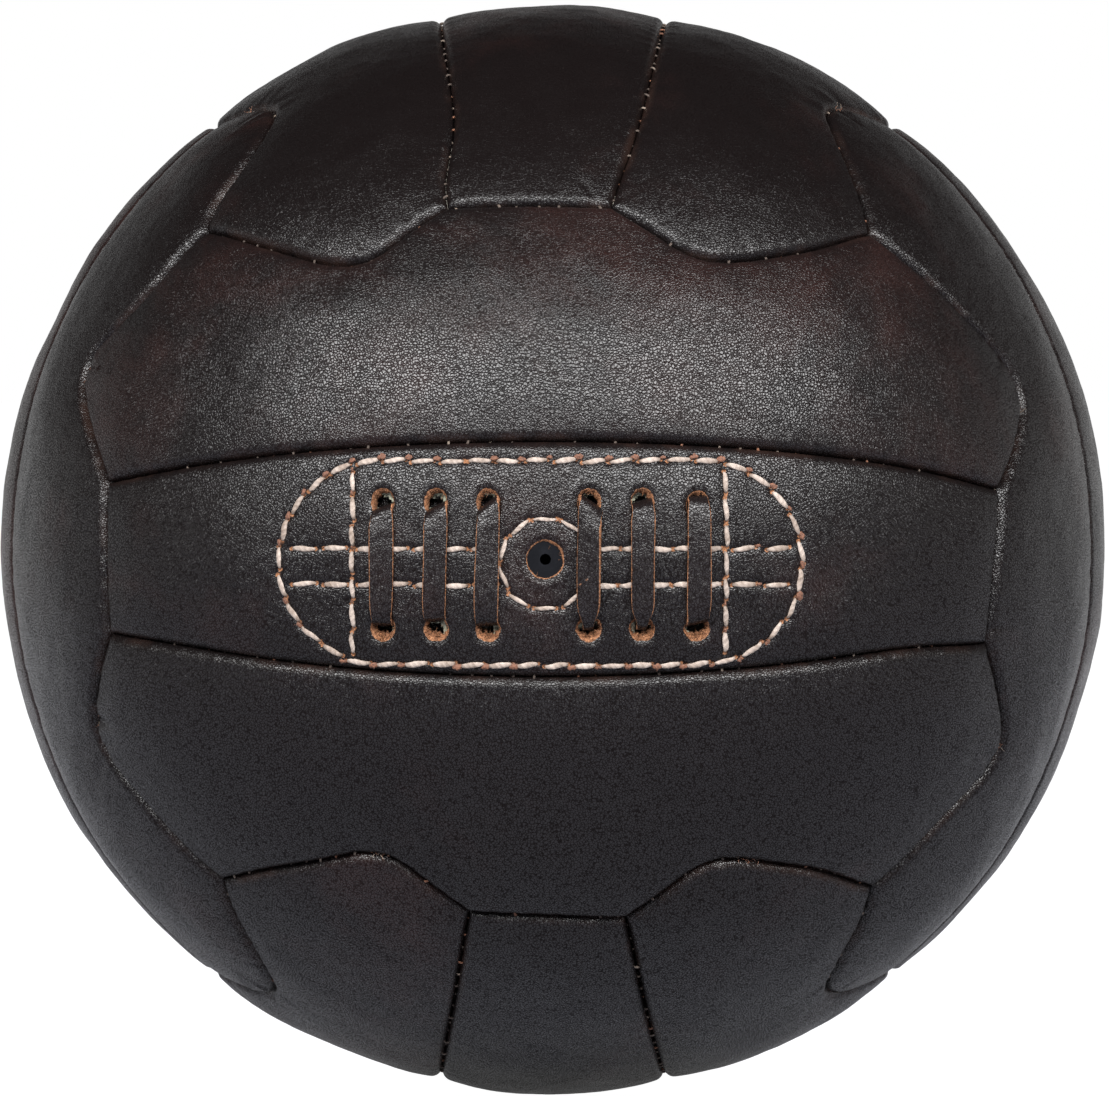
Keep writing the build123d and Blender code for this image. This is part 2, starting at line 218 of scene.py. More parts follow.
class Seam:
    """One sewn seam: its samples, their place along it, and how the stitches pull the leather there."""

    def __init__(self, curve, seed):
        curve = pulled(curve)
        self.length = length_of(curve)
        self.points = even(curve, int(self.length / SEAM_SAMPLE))
        self.along = np.linspace(0, self.length, len(self.points))
        rng = np.random.default_rng(seed)
        self.count = round(self.length / STITCH_PITCH)
        knots = np.arange(self.count + 1) + rng.normal(0, 0.07, self.count + 1)
        strength = rng.uniform(0.25, 1.0, self.count + 2)
        phase = np.interp(self.along / self.length * self.count, np.arange(self.count + 1), knots)
        which = np.clip(np.floor(phase + 0.5).astype(int), 0, self.count + 1)
        self.pucker = -np.cos(2 * math.pi * phase) * strength[which]
        self.phase = phase
        self.creases = self.make_creases(rng)

    def make_creases(self, rng):
        """Short folds square to the seam: place, side, length, width, height and slant."""
        turn = np.zeros(len(self.points))
        step = 40
        ahead = unit(self.points[step:] - self.points[:-step])
        bend = np.linalg.norm(ahead[step:] - ahead[:-step], axis=1)
        turn[step:-step] = bend
        folds = []
        for _ in range(int(self.length / 5.5)):
            place = rng.uniform(4, self.length - 4)
            sharp = np.interp(place, self.along, turn)
            height = (0.09 + 0.6 * sharp) * rng.uniform(0.35, 1.0)
            folds.append(
                (
                    place,
                    rng.choice([-1, 1]),
                    rng.uniform(2.0, 4.5) + 9 * sharp * rng.uniform(0.4, 1),
                    rng.uniform(0.7, 1.3),
                    height * rng.choice([-1, 1], p=[0.65, 0.35]),
                    rng.normal(0, 0.25),
                )
            )
        return folds


def make_seams():
    """Every seam of the ball, by the face that it belongs to, its kind and its side."""
    seams = {}
    for number, face in enumerate(FACES):
        axes = face_axes(face)
        for side in (-1, 1):
            seams[face, "strip", side] = Seam(strip_seam(side) @ axes, 100 + 10 * number + side)
            seams[face, "end", side] = Seam(end_seam(side) @ axes, 200 + 10 * number + side)
    return seams


def neighbour_of(face, side):
    """The face beyond an outer strip, and which of its ends meets that strip."""
    _, across, outward = face_axes(face)
    for other in FACES:
        other_along, _, other_outward = face_axes(other)
        if np.allclose(other_outward, side * across):
            return other, int(round(float(other_along @ outward)))
    raise ValueError(face)


def spread(length, coarse, fine_reach=3.4):
    """Shares from 0 to 1 for rows across a strip: close together over both rolled edges."""
    angles = np.linspace(0, math.pi / 2, 9)
    roll = ROLL_RADIUS * (1 - np.cos(angles))
    edge = np.concatenate([roll, [ROLL_RADIUS + 0.45, ROLL_RADIUS + 1.0, fine_reach]]) / length
    count = max(int(length * (1 - 2 * edge[-1]) / coarse), 4)
    inner = np.linspace(edge[-1], 1 - edge[-1], count + 1)[1:-1]
    return np.concatenate([edge, inner, 1 - edge[::-1]])


def coons(bottom, top, left, right, us, vs):
    """A grid of places on the ball filling four border curves."""
    def pick(curve, shares):
        reach = np.linspace(0, 1, len(curve))
        return np.stack([np.interp(shares, reach, curve[:, k]) for k in range(3)], 1)

    low, high = pick(bottom, us)[:, None], pick(top, us)[:, None]
    first, last = pick(left, vs)[None], pick(right, vs)[None]
    u, v = us[:, None, None], vs[None, :, None]
    corners = (
        (1 - u) * (1 - v) * bottom[0] + u * (1 - v) * bottom[-1] + (1 - u) * v * top[0] + u * v * top[-1]
    )
    return unit((1 - v) * low + v * high + (1 - u) * first + u * last - corners)


def inset_grid(borders, us, vs, inset):
    """A grid of places over a strip, kept a share of the strip's width inside its borders."""
    return coons(*borders, us * (1 - inset / 2) + inset / 4, vs * (1 - 2 * inset) + inset)


def strip_size(borders):
    """A strip's length and its width in the middle, in millimetres."""
    middle = len(borders[0]) // 2
    return length_of(borders[0]), length_of(np.stack([borders[0][middle], borders[1][middle]]))


def panel_borders(middle, side):
    """Bottom, top, left and right borders of a strip in its face's axes."""
    samples = 900
    if middle:
        borders = strip_seam(-1), strip_seam(1), middle_end(-1), middle_end(1)
    else:
        borders = strip_seam(side), neighbour_seam(side), lobe(-1, side), lobe(1, side)
    return [even(curve, samples) for curve in borders]


def around_panel(seams, face, middle, side):
    """The seams that bound one strip."""
    found = [seams[face, "end", -1], seams[face, "end", 1]]
    if middle:
        return found + [seams[face, "strip", -1], seams[face, "strip", 1]]
    other, end = neighbour_of(face, side)
    return found + [seams[face, "strip", side], seams[other, "end", end]]


def seam_distances(directions, seams, reach=24.0):
    """Distance in millimetres to each seam, and the nearest sample's number."""
    distances = []
    nearest = []
    for seam in seams:
        coarse = seam.points[::24]
        rough = np.sqrt(np.maximum(2 - 2 * (directions @ coarse.T).max(1), 0)) * RADIUS
        near = np.flatnonzero(rough < reach)
        distance = rough.copy()
        index = np.zeros(len(directions), int)
        for start in range(0, len(near), 4000):
            block = near[start:start + 4000]
            dots = directions[block] @ seam.points.T
            best = dots.argmax(1)
            apart = np.linalg.norm(directions[block] - seam.points[best], axis=1) * RADIUS
            distance[block] = apart
            index[block] = best
        distances.append(distance)
        nearest.append(index)
    return np.array(distances), np.array(nearest)


def cover_height(directions, seams):
    """How far the cover stands off the ball's radius at each place, and its distance to the nearest seam."""
    distances, nearest = seam_distances(directions, seams)
    closest = distances.min(0)
    height = np.zeros(len(directions))
    pulled_in = np.zeros(len(directions))
    folds = np.zeros(len(directions))
    for seam, distance, index in zip(seams, distances, nearest):
        wave = seam.pucker[index]
        pulled_in += wave * np.exp(-distance / 1.5)
        along = seam.along[index]
        tangent = unit(np.gradient(seam.points, axis=0))[index]
        offset = directions - seam.points[index]
        sign = np.sign(np.einsum("ij,ij->i", np.cross(tangent, seam.points[index]), offset))
        for place, fold_side, reach, width, size, slant in seam.creases:
            here = (np.abs(along - place) < 8) & (sign == fold_side) & (distance < 3 * reach)
            apart = (along[here] - place - slant * distance[here]) / width
            rise = 1 - np.exp(-distance[here] / 0.8)
            folds[here] += size * np.exp(-apart**2) * rise * np.exp(-((distance[here] / reach) ** 2))
    blended = -3.0 * np.log(np.exp(-distances / 3.0).sum(0))
    blended = np.maximum(blended, 0)
    roll = np.clip((closest - HALF_GAP) / (ROLL_RADIUS * (1 + 0.16 * pulled_in)), 0, 1)
    height += ROLL_RADIUS * (np.sqrt(np.maximum(1 - (1 - roll) ** 2, 0)) - 1)
    height -= EDGE_SAG * np.exp(-blended / EDGE_SAG_REACH)
    height += 0.26 * pulled_in * np.clip(closest / 0.6, 0, 1) + folds
    spots = directions * RADIUS
    inland = 1 - np.exp(-closest / 5)
    for seed, (size, wavelength) in enumerate(COVER_RIPPLES, 11):
        height += inland * size * ripples(spots, wavelength, seed)
    return height, closest


def ball_shape(directions, height):
    """Places in millimetres: the ball is a little wider than it is tall."""
    stretch = 1 + WIDER * (directions[:, :1] ** 2 - directions[:, 2:] ** 2)
    return directions * (RADIUS + height[:, None]) * stretch


def mesh_object(name, vertices, faces, attributes, material):
    """A smooth-shaded mesh object from millimetre vertices, faces and per-vertex values."""
    mesh = bpy.data.meshes.new(name)
    mesh.from_pydata((np.asarray(vertices) * MM).tolist(), [], faces)
    for key, values in attributes.items():
        values = np.asarray(values, np.float32)
        kind = "FLOAT_VECTOR" if values.ndim == 2 else "FLOAT"
        layer = mesh.attributes.new(key, kind, "POINT")
        layer.data.foreach_set("vector" if values.ndim == 2 else "value", values.ravel())
    mesh.polygons.foreach_set("use_smooth", np.ones(len(mesh.polygons), bool))
    mesh.materials.append(material)
    mesh.update()
    made = bpy.data.objects.new(name, mesh)
    bpy.context.scene.collection.objects.link(made)
    return made


def grid_quads(rows, columns, start=0):
    """Faces of a grid whose vertices are numbered row by row."""
    numbers = start + np.arange(rows * columns).reshape(rows, columns)
    return np.stack(
        [numbers[:-1, :-1], numbers[1:, :-1], numbers[1:, 1:], numbers[:-1, 1:]], -1
    ).reshape(-1, 4)


def edge_loop(rows, columns):
    """Grid vertices around the border, in order."""
    numbers = np.arange(rows * columns).reshape(rows, columns)
    return np.concatenate([numbers[:-1, 0], numbers[-1, :-1], numbers[:0:-1, -1], numbers[0, :0:-1]])


def ring_quads(first, second):
    """Faces between two closed rings of as many vertices."""
    return np.stack([first, second, np.roll(second, -1), np.roll(first, -1)], 1)


def close_panel(directions, inner_directions, outer, rows, columns):
    """Adds the turned-in edge and the inside to a panel's outer grid, which makes it a closed piece."""
    count = rows * columns
    border = edge_loop(rows, columns)
    down = directions[border] * (FLANGE_FOOT + 1.5)
    foot = directions[border] * FLANGE_FOOT
    inner = inner_directions * LEATHER_INSIDE
    inner[border] = inner_directions[border] * FLANGE_FOOT
    vertices = np.concatenate([outer, inner, down, foot])
    ring_down = 2 * count + np.arange(len(border))
    ring_foot = ring_down + len(border)
    quads = [
        grid_quads(rows, columns),
        grid_quads(rows, columns, count)[:, ::-1],
        ring_quads(border, ring_down),
        ring_quads(ring_down, ring_foot),
        ring_quads(ring_foot, count + border),
    ]
    return vertices, np.concatenate(quads), border


# Materials

class Nodes:
    """A short way to build a material's nodes."""

    def __init__(self, name):
        self.material = bpy.data.materials.new(name)
        self.material.use_nodes = True
        self.tree = self.material.node_tree
        self.shader = self.tree.nodes["Principled BSDF"]

    def add(self, kind, settings=None, **inputs):
        node = self.tree.nodes.new(kind)
        for key, value in (settings or {}).items():
            setattr(node, key, value)
        for key, value in inputs.items():
            self.put(node, key.replace("_", " "), value)
        return node

    def put(self, node, key, value):
        socket = node.inputs[int(key)] if str(key).isdigit() else node.inputs[key]
        if isinstance(value, bpy.types.NodeSocket):
            self.tree.links.new(value, socket)
        else:
            socket.default_value = value

    def set(self, **inputs):
        for key, value in inputs.items():
            self.put(self.shader, key.replace("_", " "), value)

    def place(self):
        """Where a point is, in metres."""
        return self.add("ShaderNodeTexCoord").outputs["Object"]

    def value(self, name):
        """A per-vertex number stored on the mesh."""
        return self.add("ShaderNodeAttribute", {"attribute_name": name}).outputs["Fac"]

    def vector(self, name):
        """A per-vertex vector stored on the mesh."""
        return self.add("ShaderNodeAttribute", {"attribute_name": name}).outputs["Vector"]

    def math(self, operation, first, second=0.0, clamp=False):
        node = self.add("ShaderNodeMath", {"operation": operation, "use_clamp": clamp})
        self.put(node, 0, first)
        self.put(node, 1, second)
        return node.outputs[0]

    def vector_math(self, operation, first, second):
        node = self.add("ShaderNodeVectorMath", {"operation": operation})
        self.put(node, 0, first)
        self.put(node, 1, second)
        return node.outputs[0]

    def noise(self, place, scale, detail=3.0, roughness=0.5, distortion=0.0):
        node = self.add("ShaderNodeTexNoise", Vector=place, Scale=scale, Detail=detail)
        node.inputs["Roughness"].default_value = roughness
        node.inputs["Distortion"].default_value = distortion
        return node.outputs["Fac"]

    def cells(self, place, scale, feature="F1"):
        node = self.add("ShaderNodeTexVoronoi", {"feature": feature}, Vector=place, Scale=scale)
        return node.outputs["Distance"]

    def remap(self, value, low, high, to_low=0.0, to_high=1.0):
        node = self.add("ShaderNodeMapRange", {"interpolation_type": "SMOOTHSTEP"})
        self.put(node, 0, value)
        for number, limit in enumerate((low, high, to_low, to_high), 1):
            self.put(node, number, limit)
        return node.outputs[0]

    def mix(self, share, first, second):
        node = self.add("ShaderNodeMix", {"data_type": "RGBA"})
        self.put(node, 0, share)
        self.put(node, 6, first)
        self.put(node, 7, second)
        return node.outputs[2]

    def warped(self, place, scale, amount):
        """Places pushed about by noise, so that cells aren't even."""
        noise = self.add("ShaderNodeTexNoise", Vector=place, Scale=scale, Detail=2.0)
        centred = self.vector_math("SUBTRACT", noise.outputs["Color"], (0.5, 0.5, 0.5))
        node = self.add("ShaderNodeVectorMath", {"operation": "MULTIPLY_ADD"})
        self.put(node, 0, centred)
        self.put(node, 1, (amount, amount, amount))
        self.put(node, 2, place)
        return node.outputs[0]

    def bump(self, height, depth, strength=1.0, onto=None):
        node = self.add("ShaderNodeBump", Height=height, Distance=depth, Strength=strength)
        if onto is not None:
            self.put(node, "Normal", onto)
        return node.outputs["Normal"]


def srgb(red, green, blue):
    """A colour given as it looks on screen, 0 to 255, as the linear colour that shaders take."""
    def linear(value):
        value /= 255
        return value / 12.92 if value <= 0.04045 else ((value + 0.055) / 1.055) ** 2.4

    return linear(red), linear(green), linear(blue), 1.0


def leather_material(name, dark, red, grain=1.0):
    """Full-grain leather: fine pebbled grain, reddish clouding, rubbed edges, tan fibre where it is cut."""
    n = Nodes(name)
    place = n.vector_math("ADD", n.place(), n.vector("grain_shift"))
    loose = n.warped(place, 900.0, 0.0007)
    edges = n.cells(loose, 1750.0, "DISTANCE_TO_EDGE")
    pebbles = n.math("POWER", n.remap(edges, 0.0, 0.30), 0.6)
    fine = n.noise(place, 3400.0, 2.0, 0.6)
    furrows = n.noise(n.warped(place, 240.0, 0.002), 460.0, 4.0, 0.62)
    pores = n.remap(n.cells(n.warped(place, 500.0, 0.001), 520.0), 0.0, 0.16)
    height = n.math("ADD", n.math("MULTIPLY", pebbles, 0.42), n.math("MULTIPLY", fine, 0.45))
    height = n.math("ADD", height, n.math("MULTIPLY", furrows, 0.6))
    height = n.math("ADD", height, n.math("MULTIPLY", pores, 0.25))
    clouds = n.noise(place, 17.0, 4.0, 0.6, 0.6)
    mottle = n.noise(place, 62.0, 5.0, 0.65, 0.3)
    blush = n.math("ADD", n.math("MULTIPLY", clouds, 0.75), n.math("MULTIPLY", mottle, 0.35))
    blush = n.math("ADD", blush, n.math("MULTIPLY", n.value("tone"), 0.12))
    colour = n.mix(n.remap(blush, 0.50, 0.80), dark, red)
    # Painted shade: the grain's furrows are mixed halfway towards near black. Further down, the same mask
    # also makes them rougher and cuts their reflection.
    hollow = n.remap(edges, 0.05, 0.17, 1.0, 0.0)
    colour = n.mix(n.math("MULTIPLY", hollow, 0.5), colour, srgb(12, 9, 9))
    at_seam = n.remap(n.value("seam_distance"), 0.2, 2.0, 1.0, 0.0)
    worn = n.math("MULTIPLY", at_seam, n.remap(mottle, 0.42, 0.7))
    colour = n.mix(n.math("MULTIPLY", worn, 0.45), colour, srgb(58, 42, 36))
    dust = n.remap(n.noise(place, 900.0, 2.0, 0.7), 0.76, 0.80)
    colour = n.mix(n.math("MULTIPLY", dust, 0.10), colour, srgb(150, 140, 130))
    fibres = n.noise(n.warped(place, 1200.0, 0.0008), 2400.0, 4.0, 0.7)
    raw_colour = n.mix(n.remap(fibres, 0.3, 0.7), srgb(72, 41, 26), srgb(176, 124, 88))
    frayed = n.math("ADD", n.value("raw"), n.math("MULTIPLY", n.math("SUBTRACT", fibres, 0.5), 0.5))
    raw = n.remap(frayed, 0.38, 0.62)
    # Painted shade: cut fibre turns dark brown the deeper it lies, down a hole's wall or where a strap dives
    # into its hole.
    shade = n.remap(n.value("depth"), 0.0, 1.0, 1.0, 0.25)
    raw_colour = n.mix(shade, srgb(30, 16, 10), raw_colour)
    n.set(Base_Color=n.mix(raw, colour, raw_colour))
    satin = n.remap(n.noise(place, 130.0, 4.0, 0.6), 0.3, 0.75, 0.19, 0.27)
    satin = n.math("ADD", satin, n.math("MULTIPLY", hollow, 0.12))
    sheen = n.math("SUBTRACT", 0.5, n.math("MULTIPLY", hollow, 0.42))
    n.set(Roughness=n.math("MAXIMUM", satin, n.math("MULTIPLY", raw, 0.9)), Specular_IOR_Level=sheen)
    coarse = n.bump(fibres, 0.0005, n.math("MULTIPLY", raw, 0.8))
    n.set(Normal=n.bump(height, 0.00011 * grain, 1.0, coarse))
    return n.material


def thread_material(name, pale, dull, frayed):
    """Waxed twisted thread, with brown leather fibre where the awl has pulled it up."""
    n = Nodes(name)
    lay = n.vector("lay")
    settings = {"bands_direction": "DIAGONAL"}
    twist = n.add("ShaderNodeTexWave", settings, Vector=lay, Scale=0.55, Distortion=1.2)
    twist.inputs["Detail"].default_value = 3.0
    hair = n.noise(n.place(), 2600.0, 4.0, 0.7)
    grime = n.noise(n.place(), 330.0, 4.0, 0.6)
    shade = n.math("MULTIPLY", n.remap(grime, 0.35, 0.7), 0.8)
    # Painted shade: the thread darkens in the grooves of its twist, on top of its random grime.
    groove = n.remap(twist.outputs["Fac"], 0.0, 0.5, 1.0, 0.0)
    shade = n.math("ADD", shade, n.math("MULTIPLY", groove, 0.22), True)
    # Painted shade where the thread dips into the leather or lies down in a seam's groove.
    shade = n.math("ADD", shade, n.math("MULTIPLY", n.value("dip"), 0.8), True)
    colour = n.mix(shade, pale, dull)
    brown = n.mix(n.remap(hair, 0.35, 0.65), srgb(74, 44, 30), frayed)
    n.set(Base_Color=n.mix(n.remap(n.value("raw"), 0.4, 0.6), colour, brown), Roughness=0.72)
    height = n.math("ADD", twist.outputs["Fac"], n.math("MULTIPLY", hair, 0.8))
    n.set(Normal=n.bump(height, 0.00009, 0.7))
    n.shader.inputs["Sheen Weight"].default_value = 0.1
    return n.material


def rubber_material(name, colour, rough, reflection):
    """Moulded rubber with a faint bloom and dust."""
    n = Nodes(name)
    bloom = n.noise(n.place(), 240.0, 4.0, 0.6)
    grain = n.noise(n.place(), 3000.0, 3.0, 0.6)
    pale = tuple(min(c * 1.5 + 0.002, 1.0) for c in colour[:3]) + (1.0,)
    n.set(Base_Color=n.mix(n.remap(bloom, 0.4, 0.75), colour, pale))
    n.set(Roughness=n.remap(bloom, 0.3, 0.7, rough, rough + 0.15), Normal=n.bump(grain, 0.00005, 0.5))
    n.shader.inputs["Specular IOR Level"].default_value = reflection
    return n.material


def weave_material(name, colour, dull, pitch):
    """Plain-woven canvas: warp and weft crossing at the given pitch, in metres."""
    n = Nodes(name)
    place = n.warped(n.place(), 60.0, 0.0006)
    scale = 1 / (2 * pitch)
    bands = []
    for direction in ("X", "Z"):
        settings = {"bands_direction": direction}
        wave = n.add("ShaderNodeTexWave", settings, Vector=place, Scale=scale / 3.14, Distortion=0.4)
        bands.append(wave.outputs["Fac"])
    threads = n.math("MAXIMUM", *bands)
    slub = n.noise(n.place(), 900.0, 4.0, 0.65)
    height = n.math("ADD", threads, n.math("MULTIPLY", slub, 0.4))
    # Painted shade: the canvas takes its dull colour where the weave is low, between the threads.
    n.set(Base_Color=n.mix(n.remap(height, 0.4, 1.2), dull, colour), Roughness=0.9)
    n.set(Normal=n.bump(height, 0.0002, 0.7))
    return n.material


def felt_material(name, colour, dull):
    """Pressed waste-wool felt with loose fibres."""
    n = Nodes(name)
    clumps = n.noise(n.place(), 120.0, 4.0, 0.6)
    hair = n.noise(n.warped(n.place(), 400.0, 0.003), 1500.0, 5.0, 0.75)
    # Painted shade: the felt takes its dull colour where it is low, from the same heights as its bump.
    n.set(Base_Color=n.mix(n.remap(n.math("ADD", clumps, hair), 0.7, 1.3), dull, colour), Roughness=0.95)
    n.set(Normal=n.bump(n.math("ADD", clumps, hair), 0.0006, 0.8))
    n.shader.inputs["Sheen Weight"].default_value = 0.3
    return n.material


# The lacing patch, as X and Z of the ball in front of its centre

LACE_COLUMNS = (-32.6, -21.9, -11.5, 8.7, 19.3, 30.3)
LACE_TOP = 11.7
LACE_BOTTOM = -14.3
PATCH_SIDE = -1.2
PATCH_DROP = -0.8
PATCH_HALF_WIDTH = 52.4
PATCH_HALF_HEIGHT = 20.5
BAR_COLUMNS = (-38.8, 36.0)
ROW_HEIGHTS = (2.0, -5.2)
UPPER_HOLE_HALF = (2.25, 2.75)
LOWER_HOLE_HALF = (2.45, 2.45)
VALVE_HOLE_HALF = (3.75, 3.75)
VALVE_RING_RADIUS = 8.9
PATCH_STITCH_PITCH = 5.7
PATCH_STITCH_LENGTH = 4.7
PATCH_STITCH_WIDTH = 1.12
PATCH_GRID = 0.42
PANEL_GRID = 0.62


def stadium_point(share):
    """Place and direction on the patch's outline at a share of its length, from its top left corner."""
    straight = 2 * (PATCH_HALF_WIDTH - PATCH_HALF_HEIGHT)
    bend = math.pi * PATCH_HALF_HEIGHT
    reach = share * 2 * (straight + bend)
    flip = 1
    if reach > straight + bend:
        reach -= straight + bend
        flip = -1
    if reach <= straight:
        side, up, along = reach - straight / 2, PATCH_HALF_HEIGHT, (1, 0)
    else:
        turn = (reach - straight) / PATCH_HALF_HEIGHT
        side = straight / 2 + PATCH_HALF_HEIGHT * math.sin(turn)
        up = PATCH_HALF_HEIGHT * math.cos(turn)
        along = (math.cos(turn), -math.sin(turn))
    return PATCH_SIDE + flip * side, PATCH_DROP + flip * up, flip * along[0], flip * along[1]


def spaced(point_at, length):
    """Stitch places and directions spread evenly along a path of that length."""
    count = round(length / PATCH_STITCH_PITCH)
    return [point_at((index + 0.5) / count) for index in range(count)]


def stitch_lines():
    """Every line of stitches on the patch, by the name of its CAD node."""
    outline = 4 * (PATCH_HALF_WIDTH - PATCH_HALF_HEIGHT) + 2 * math.pi * PATCH_HALF_HEIGHT
    lines = {"outline_stitches": spaced(stadium_point, outline)}
    for name, column in zip(("left_bar_stitches", "right_bar_stitches"), BAR_COLUMNS):
        past = abs(column - PATCH_SIDE) - (PATCH_HALF_WIDTH - PATCH_HALF_HEIGHT)
        half = math.sqrt(PATCH_HALF_HEIGHT**2 - max(past, 0) ** 2) - 1.0
        lines[name] = spaced(lambda s: (column, PATCH_DROP + half * (2 * s - 1), 0, 1), 2 * half)
    for name, height in zip(("upper_row_stitches", "lower_row_stitches"), ROW_HEIGHTS):
        rise = height - PATCH_DROP
        half = PATCH_HALF_WIDTH - PATCH_HALF_HEIGHT + math.sqrt(PATCH_HALF_HEIGHT**2 - rise**2) - 1.0
        ring = math.sqrt(VALVE_RING_RADIUS**2 - rise**2) + 1.0
        stops = (PATCH_SIDE - half, BAR_COLUMNS[0], -ring, ring, BAR_COLUMNS[1], PATCH_SIDE + half)
        found = []
        for start, end in (stops[0:2], stops[1:3], stops[3:5], stops[4:6]):
            start, end = start + 0.3, end - 0.3
            found += spaced(lambda s: (start + (end - start) * s, height, 1, 0), end - start)
        lines[name] = found
    ring_length = 2 * math.pi * VALVE_RING_RADIUS
    lines["valve_ring_stitches"] = spaced(
        lambda s: (
            VALVE_RING_RADIUS * math.cos(2 * math.pi * s),
            PATCH_DROP + VALVE_RING_RADIUS * math.sin(2 * math.pi * s),
            -math.sin(2 * math.pi * s),
            math.cos(2 * math.pi * s),
        ),
        ring_length,
    )
    return lines


def to_direction(side, up):
    """The direction of the ball's surface in front of places on the patch."""
    side, up = np.asarray(side, float) / RADIUS, np.asarray(up, float) / RADIUS
    return np.stack([side, -np.sqrt(1 - side**2 - up**2), up], -1)


class Hole:
    """A hand-punched hole in the patch: its middle, half sizes, and how far its worn edge slopes in.
    The slope is widest towards slope_turn, an angle about the middle."""

    def __init__(self, middle, half, slope, slope_turn, ragged, seed):
        self.middle = np.array(middle)
        self.half = np.array(half)
        self.slope = slope
        self.slope_turn = slope_turn
        self.for_lace = self.half[0] < VALVE_HOLE_HALF[0]
        rng = np.random.default_rng(seed)
        self.waves = [(k, rng.normal(0, ragged / k), rng.uniform(0, 2 * math.pi)) for k in range(2, 12)]

    def outline(self, turns):
        """The hole's edge on the leather's face at angles about its middle, from the middle."""
        rough = 1 + sum(size * np.cos(k * turns + phase) for k, size, phase in self.waves)
        return np.stack([self.half[0] * rough * np.cos(turns), self.half[1] * rough * np.sin(turns)], -1)

    def lip(self, turns):
        """How much narrower the hole is below its sloping edge, in millimetres."""
        lean = np.clip(np.cos(turns - self.slope_turn), -0.4, 1)
        uneven = 1 + 0.25 * np.cos(7 * turns + self.half[0])
        return self.slope * (0.28 + 0.72 * np.maximum(lean, 0)) * uneven

    def outside(self, spots):
        """Distance of patch places from the hole's edge."""
        away = spots - self.middle
        turns = np.arctan2(away[:, 1] / self.half[1], away[:, 0] / self.half[0])
        return np.linalg.norm(away, axis=1) - np.linalg.norm(self.outline(turns), axis=1)


def make_holes():
    """The twelve lace holes and the valve's hole."""
    up_turn, down_turn = math.pi / 2, -math.pi / 2
    holes = []
    for number, column in enumerate(LACE_COLUMNS):
        lean = 0.5 if number < 3 else -0.5
        drop = -0.35 if number < 5 else -0.9
        upper, lower = (column, LACE_TOP + drop), (column, LACE_BOTTOM + 0.3)
        holes.append(Hole(upper, UPPER_HOLE_HALF, 0.75, up_turn + lean, 0.03, 300 + number))
        holes.append(Hole(lower, LOWER_HOLE_HALF, 1.5, down_turn - 0.4 * lean, 0.045, 320 + number))
    holes.append(Hole((0, 0), VALVE_HOLE_HALF, 0.8, math.radians(60), 0.03, 340))
    return holes


class Patch:
    """What sewing and punching do to the leather of the lacing patch."""

    def __init__(self):
        self.holes = make_holes()
        rng = np.random.default_rng(77)
        self.stitches = {}
        for name, places in stitch_lines().items():
            made = []
            for number, (side, up, ahead_side, ahead_up) in enumerate(places):
                lean = 0.09 if name == "outline_stitches" else 0.06
                turn = rng.normal(lean, 0.035)
                ahead = (
                    ahead_side * math.cos(turn) - ahead_up * math.sin(turn),
                    ahead_side * math.sin(turn) + ahead_up * math.cos(turn),
                )
                long_stitch = 0.9 + 0.12 * (number % 2) if "bar" in name else 1.0
                length = PATCH_STITCH_LENGTH * long_stitch * rng.uniform(0.93, 1.06)
                width = PATCH_STITCH_WIDTH * rng.uniform(0.86, 1.12)
                made.append((side + rng.normal(0, 0.1), up + rng.normal(0, 0.1), *ahead, length, width))
            self.stitches[name] = made
        middles = np.array([s for made in self.stitches.values() for s in made])
        spots, ahead, reach = middles[:, :2], middles[:, 2:4], middles[:, 4:5] / 2
        self.ends = np.concatenate([spots + ahead * reach, spots - ahead * reach])
        self.path = np.concatenate([spots + ahead * share for share in np.linspace(-2.9, 2.9, 9)])

    def relief(self, directions):
        """Height change and bare fibre at places on the ball."""
        spots = directions[:, [0, 2]] * RADIUS
        change = np.zeros(len(spots))
        raw = np.zeros(len(spots))
        beside = (np.abs(spots[:, 0]) < 62) & (np.abs(spots[:, 1]) < 28)
        near = np.flatnonzero(beside & (directions[:, 1] < 0))
        here = spots[near]
        for points, depth, width, bare in ((self.path, 0.26, 0.85, 0), (self.ends, 0.42, 0.55, 0.95)):
            closest = np.full(len(here), 9.0)
            for start in range(0, len(here), 4000):
                block = here[start:start + 4000]
                apart = np.linalg.norm(block[:, None] - points[None], axis=2)
                closest[start:start + 4000] = apart.min(1)
            bell = np.exp(-((closest / width) ** 2))
            change[near] -= depth * bell
            raw[near] = np.maximum(raw[near], bare * bell)
        for hole in self.holes:
            outside = np.maximum(hole.outside(here), 0)
            change[near] -= 0.30 * np.exp(-outside / 0.55)
            change[near] += 0.14 * np.exp(-(((outside - 1.3) / 0.7) ** 2))
            raw[near] = np.maximum(raw[near], 0.62 * np.exp(-outside / 0.30))
        return change, raw


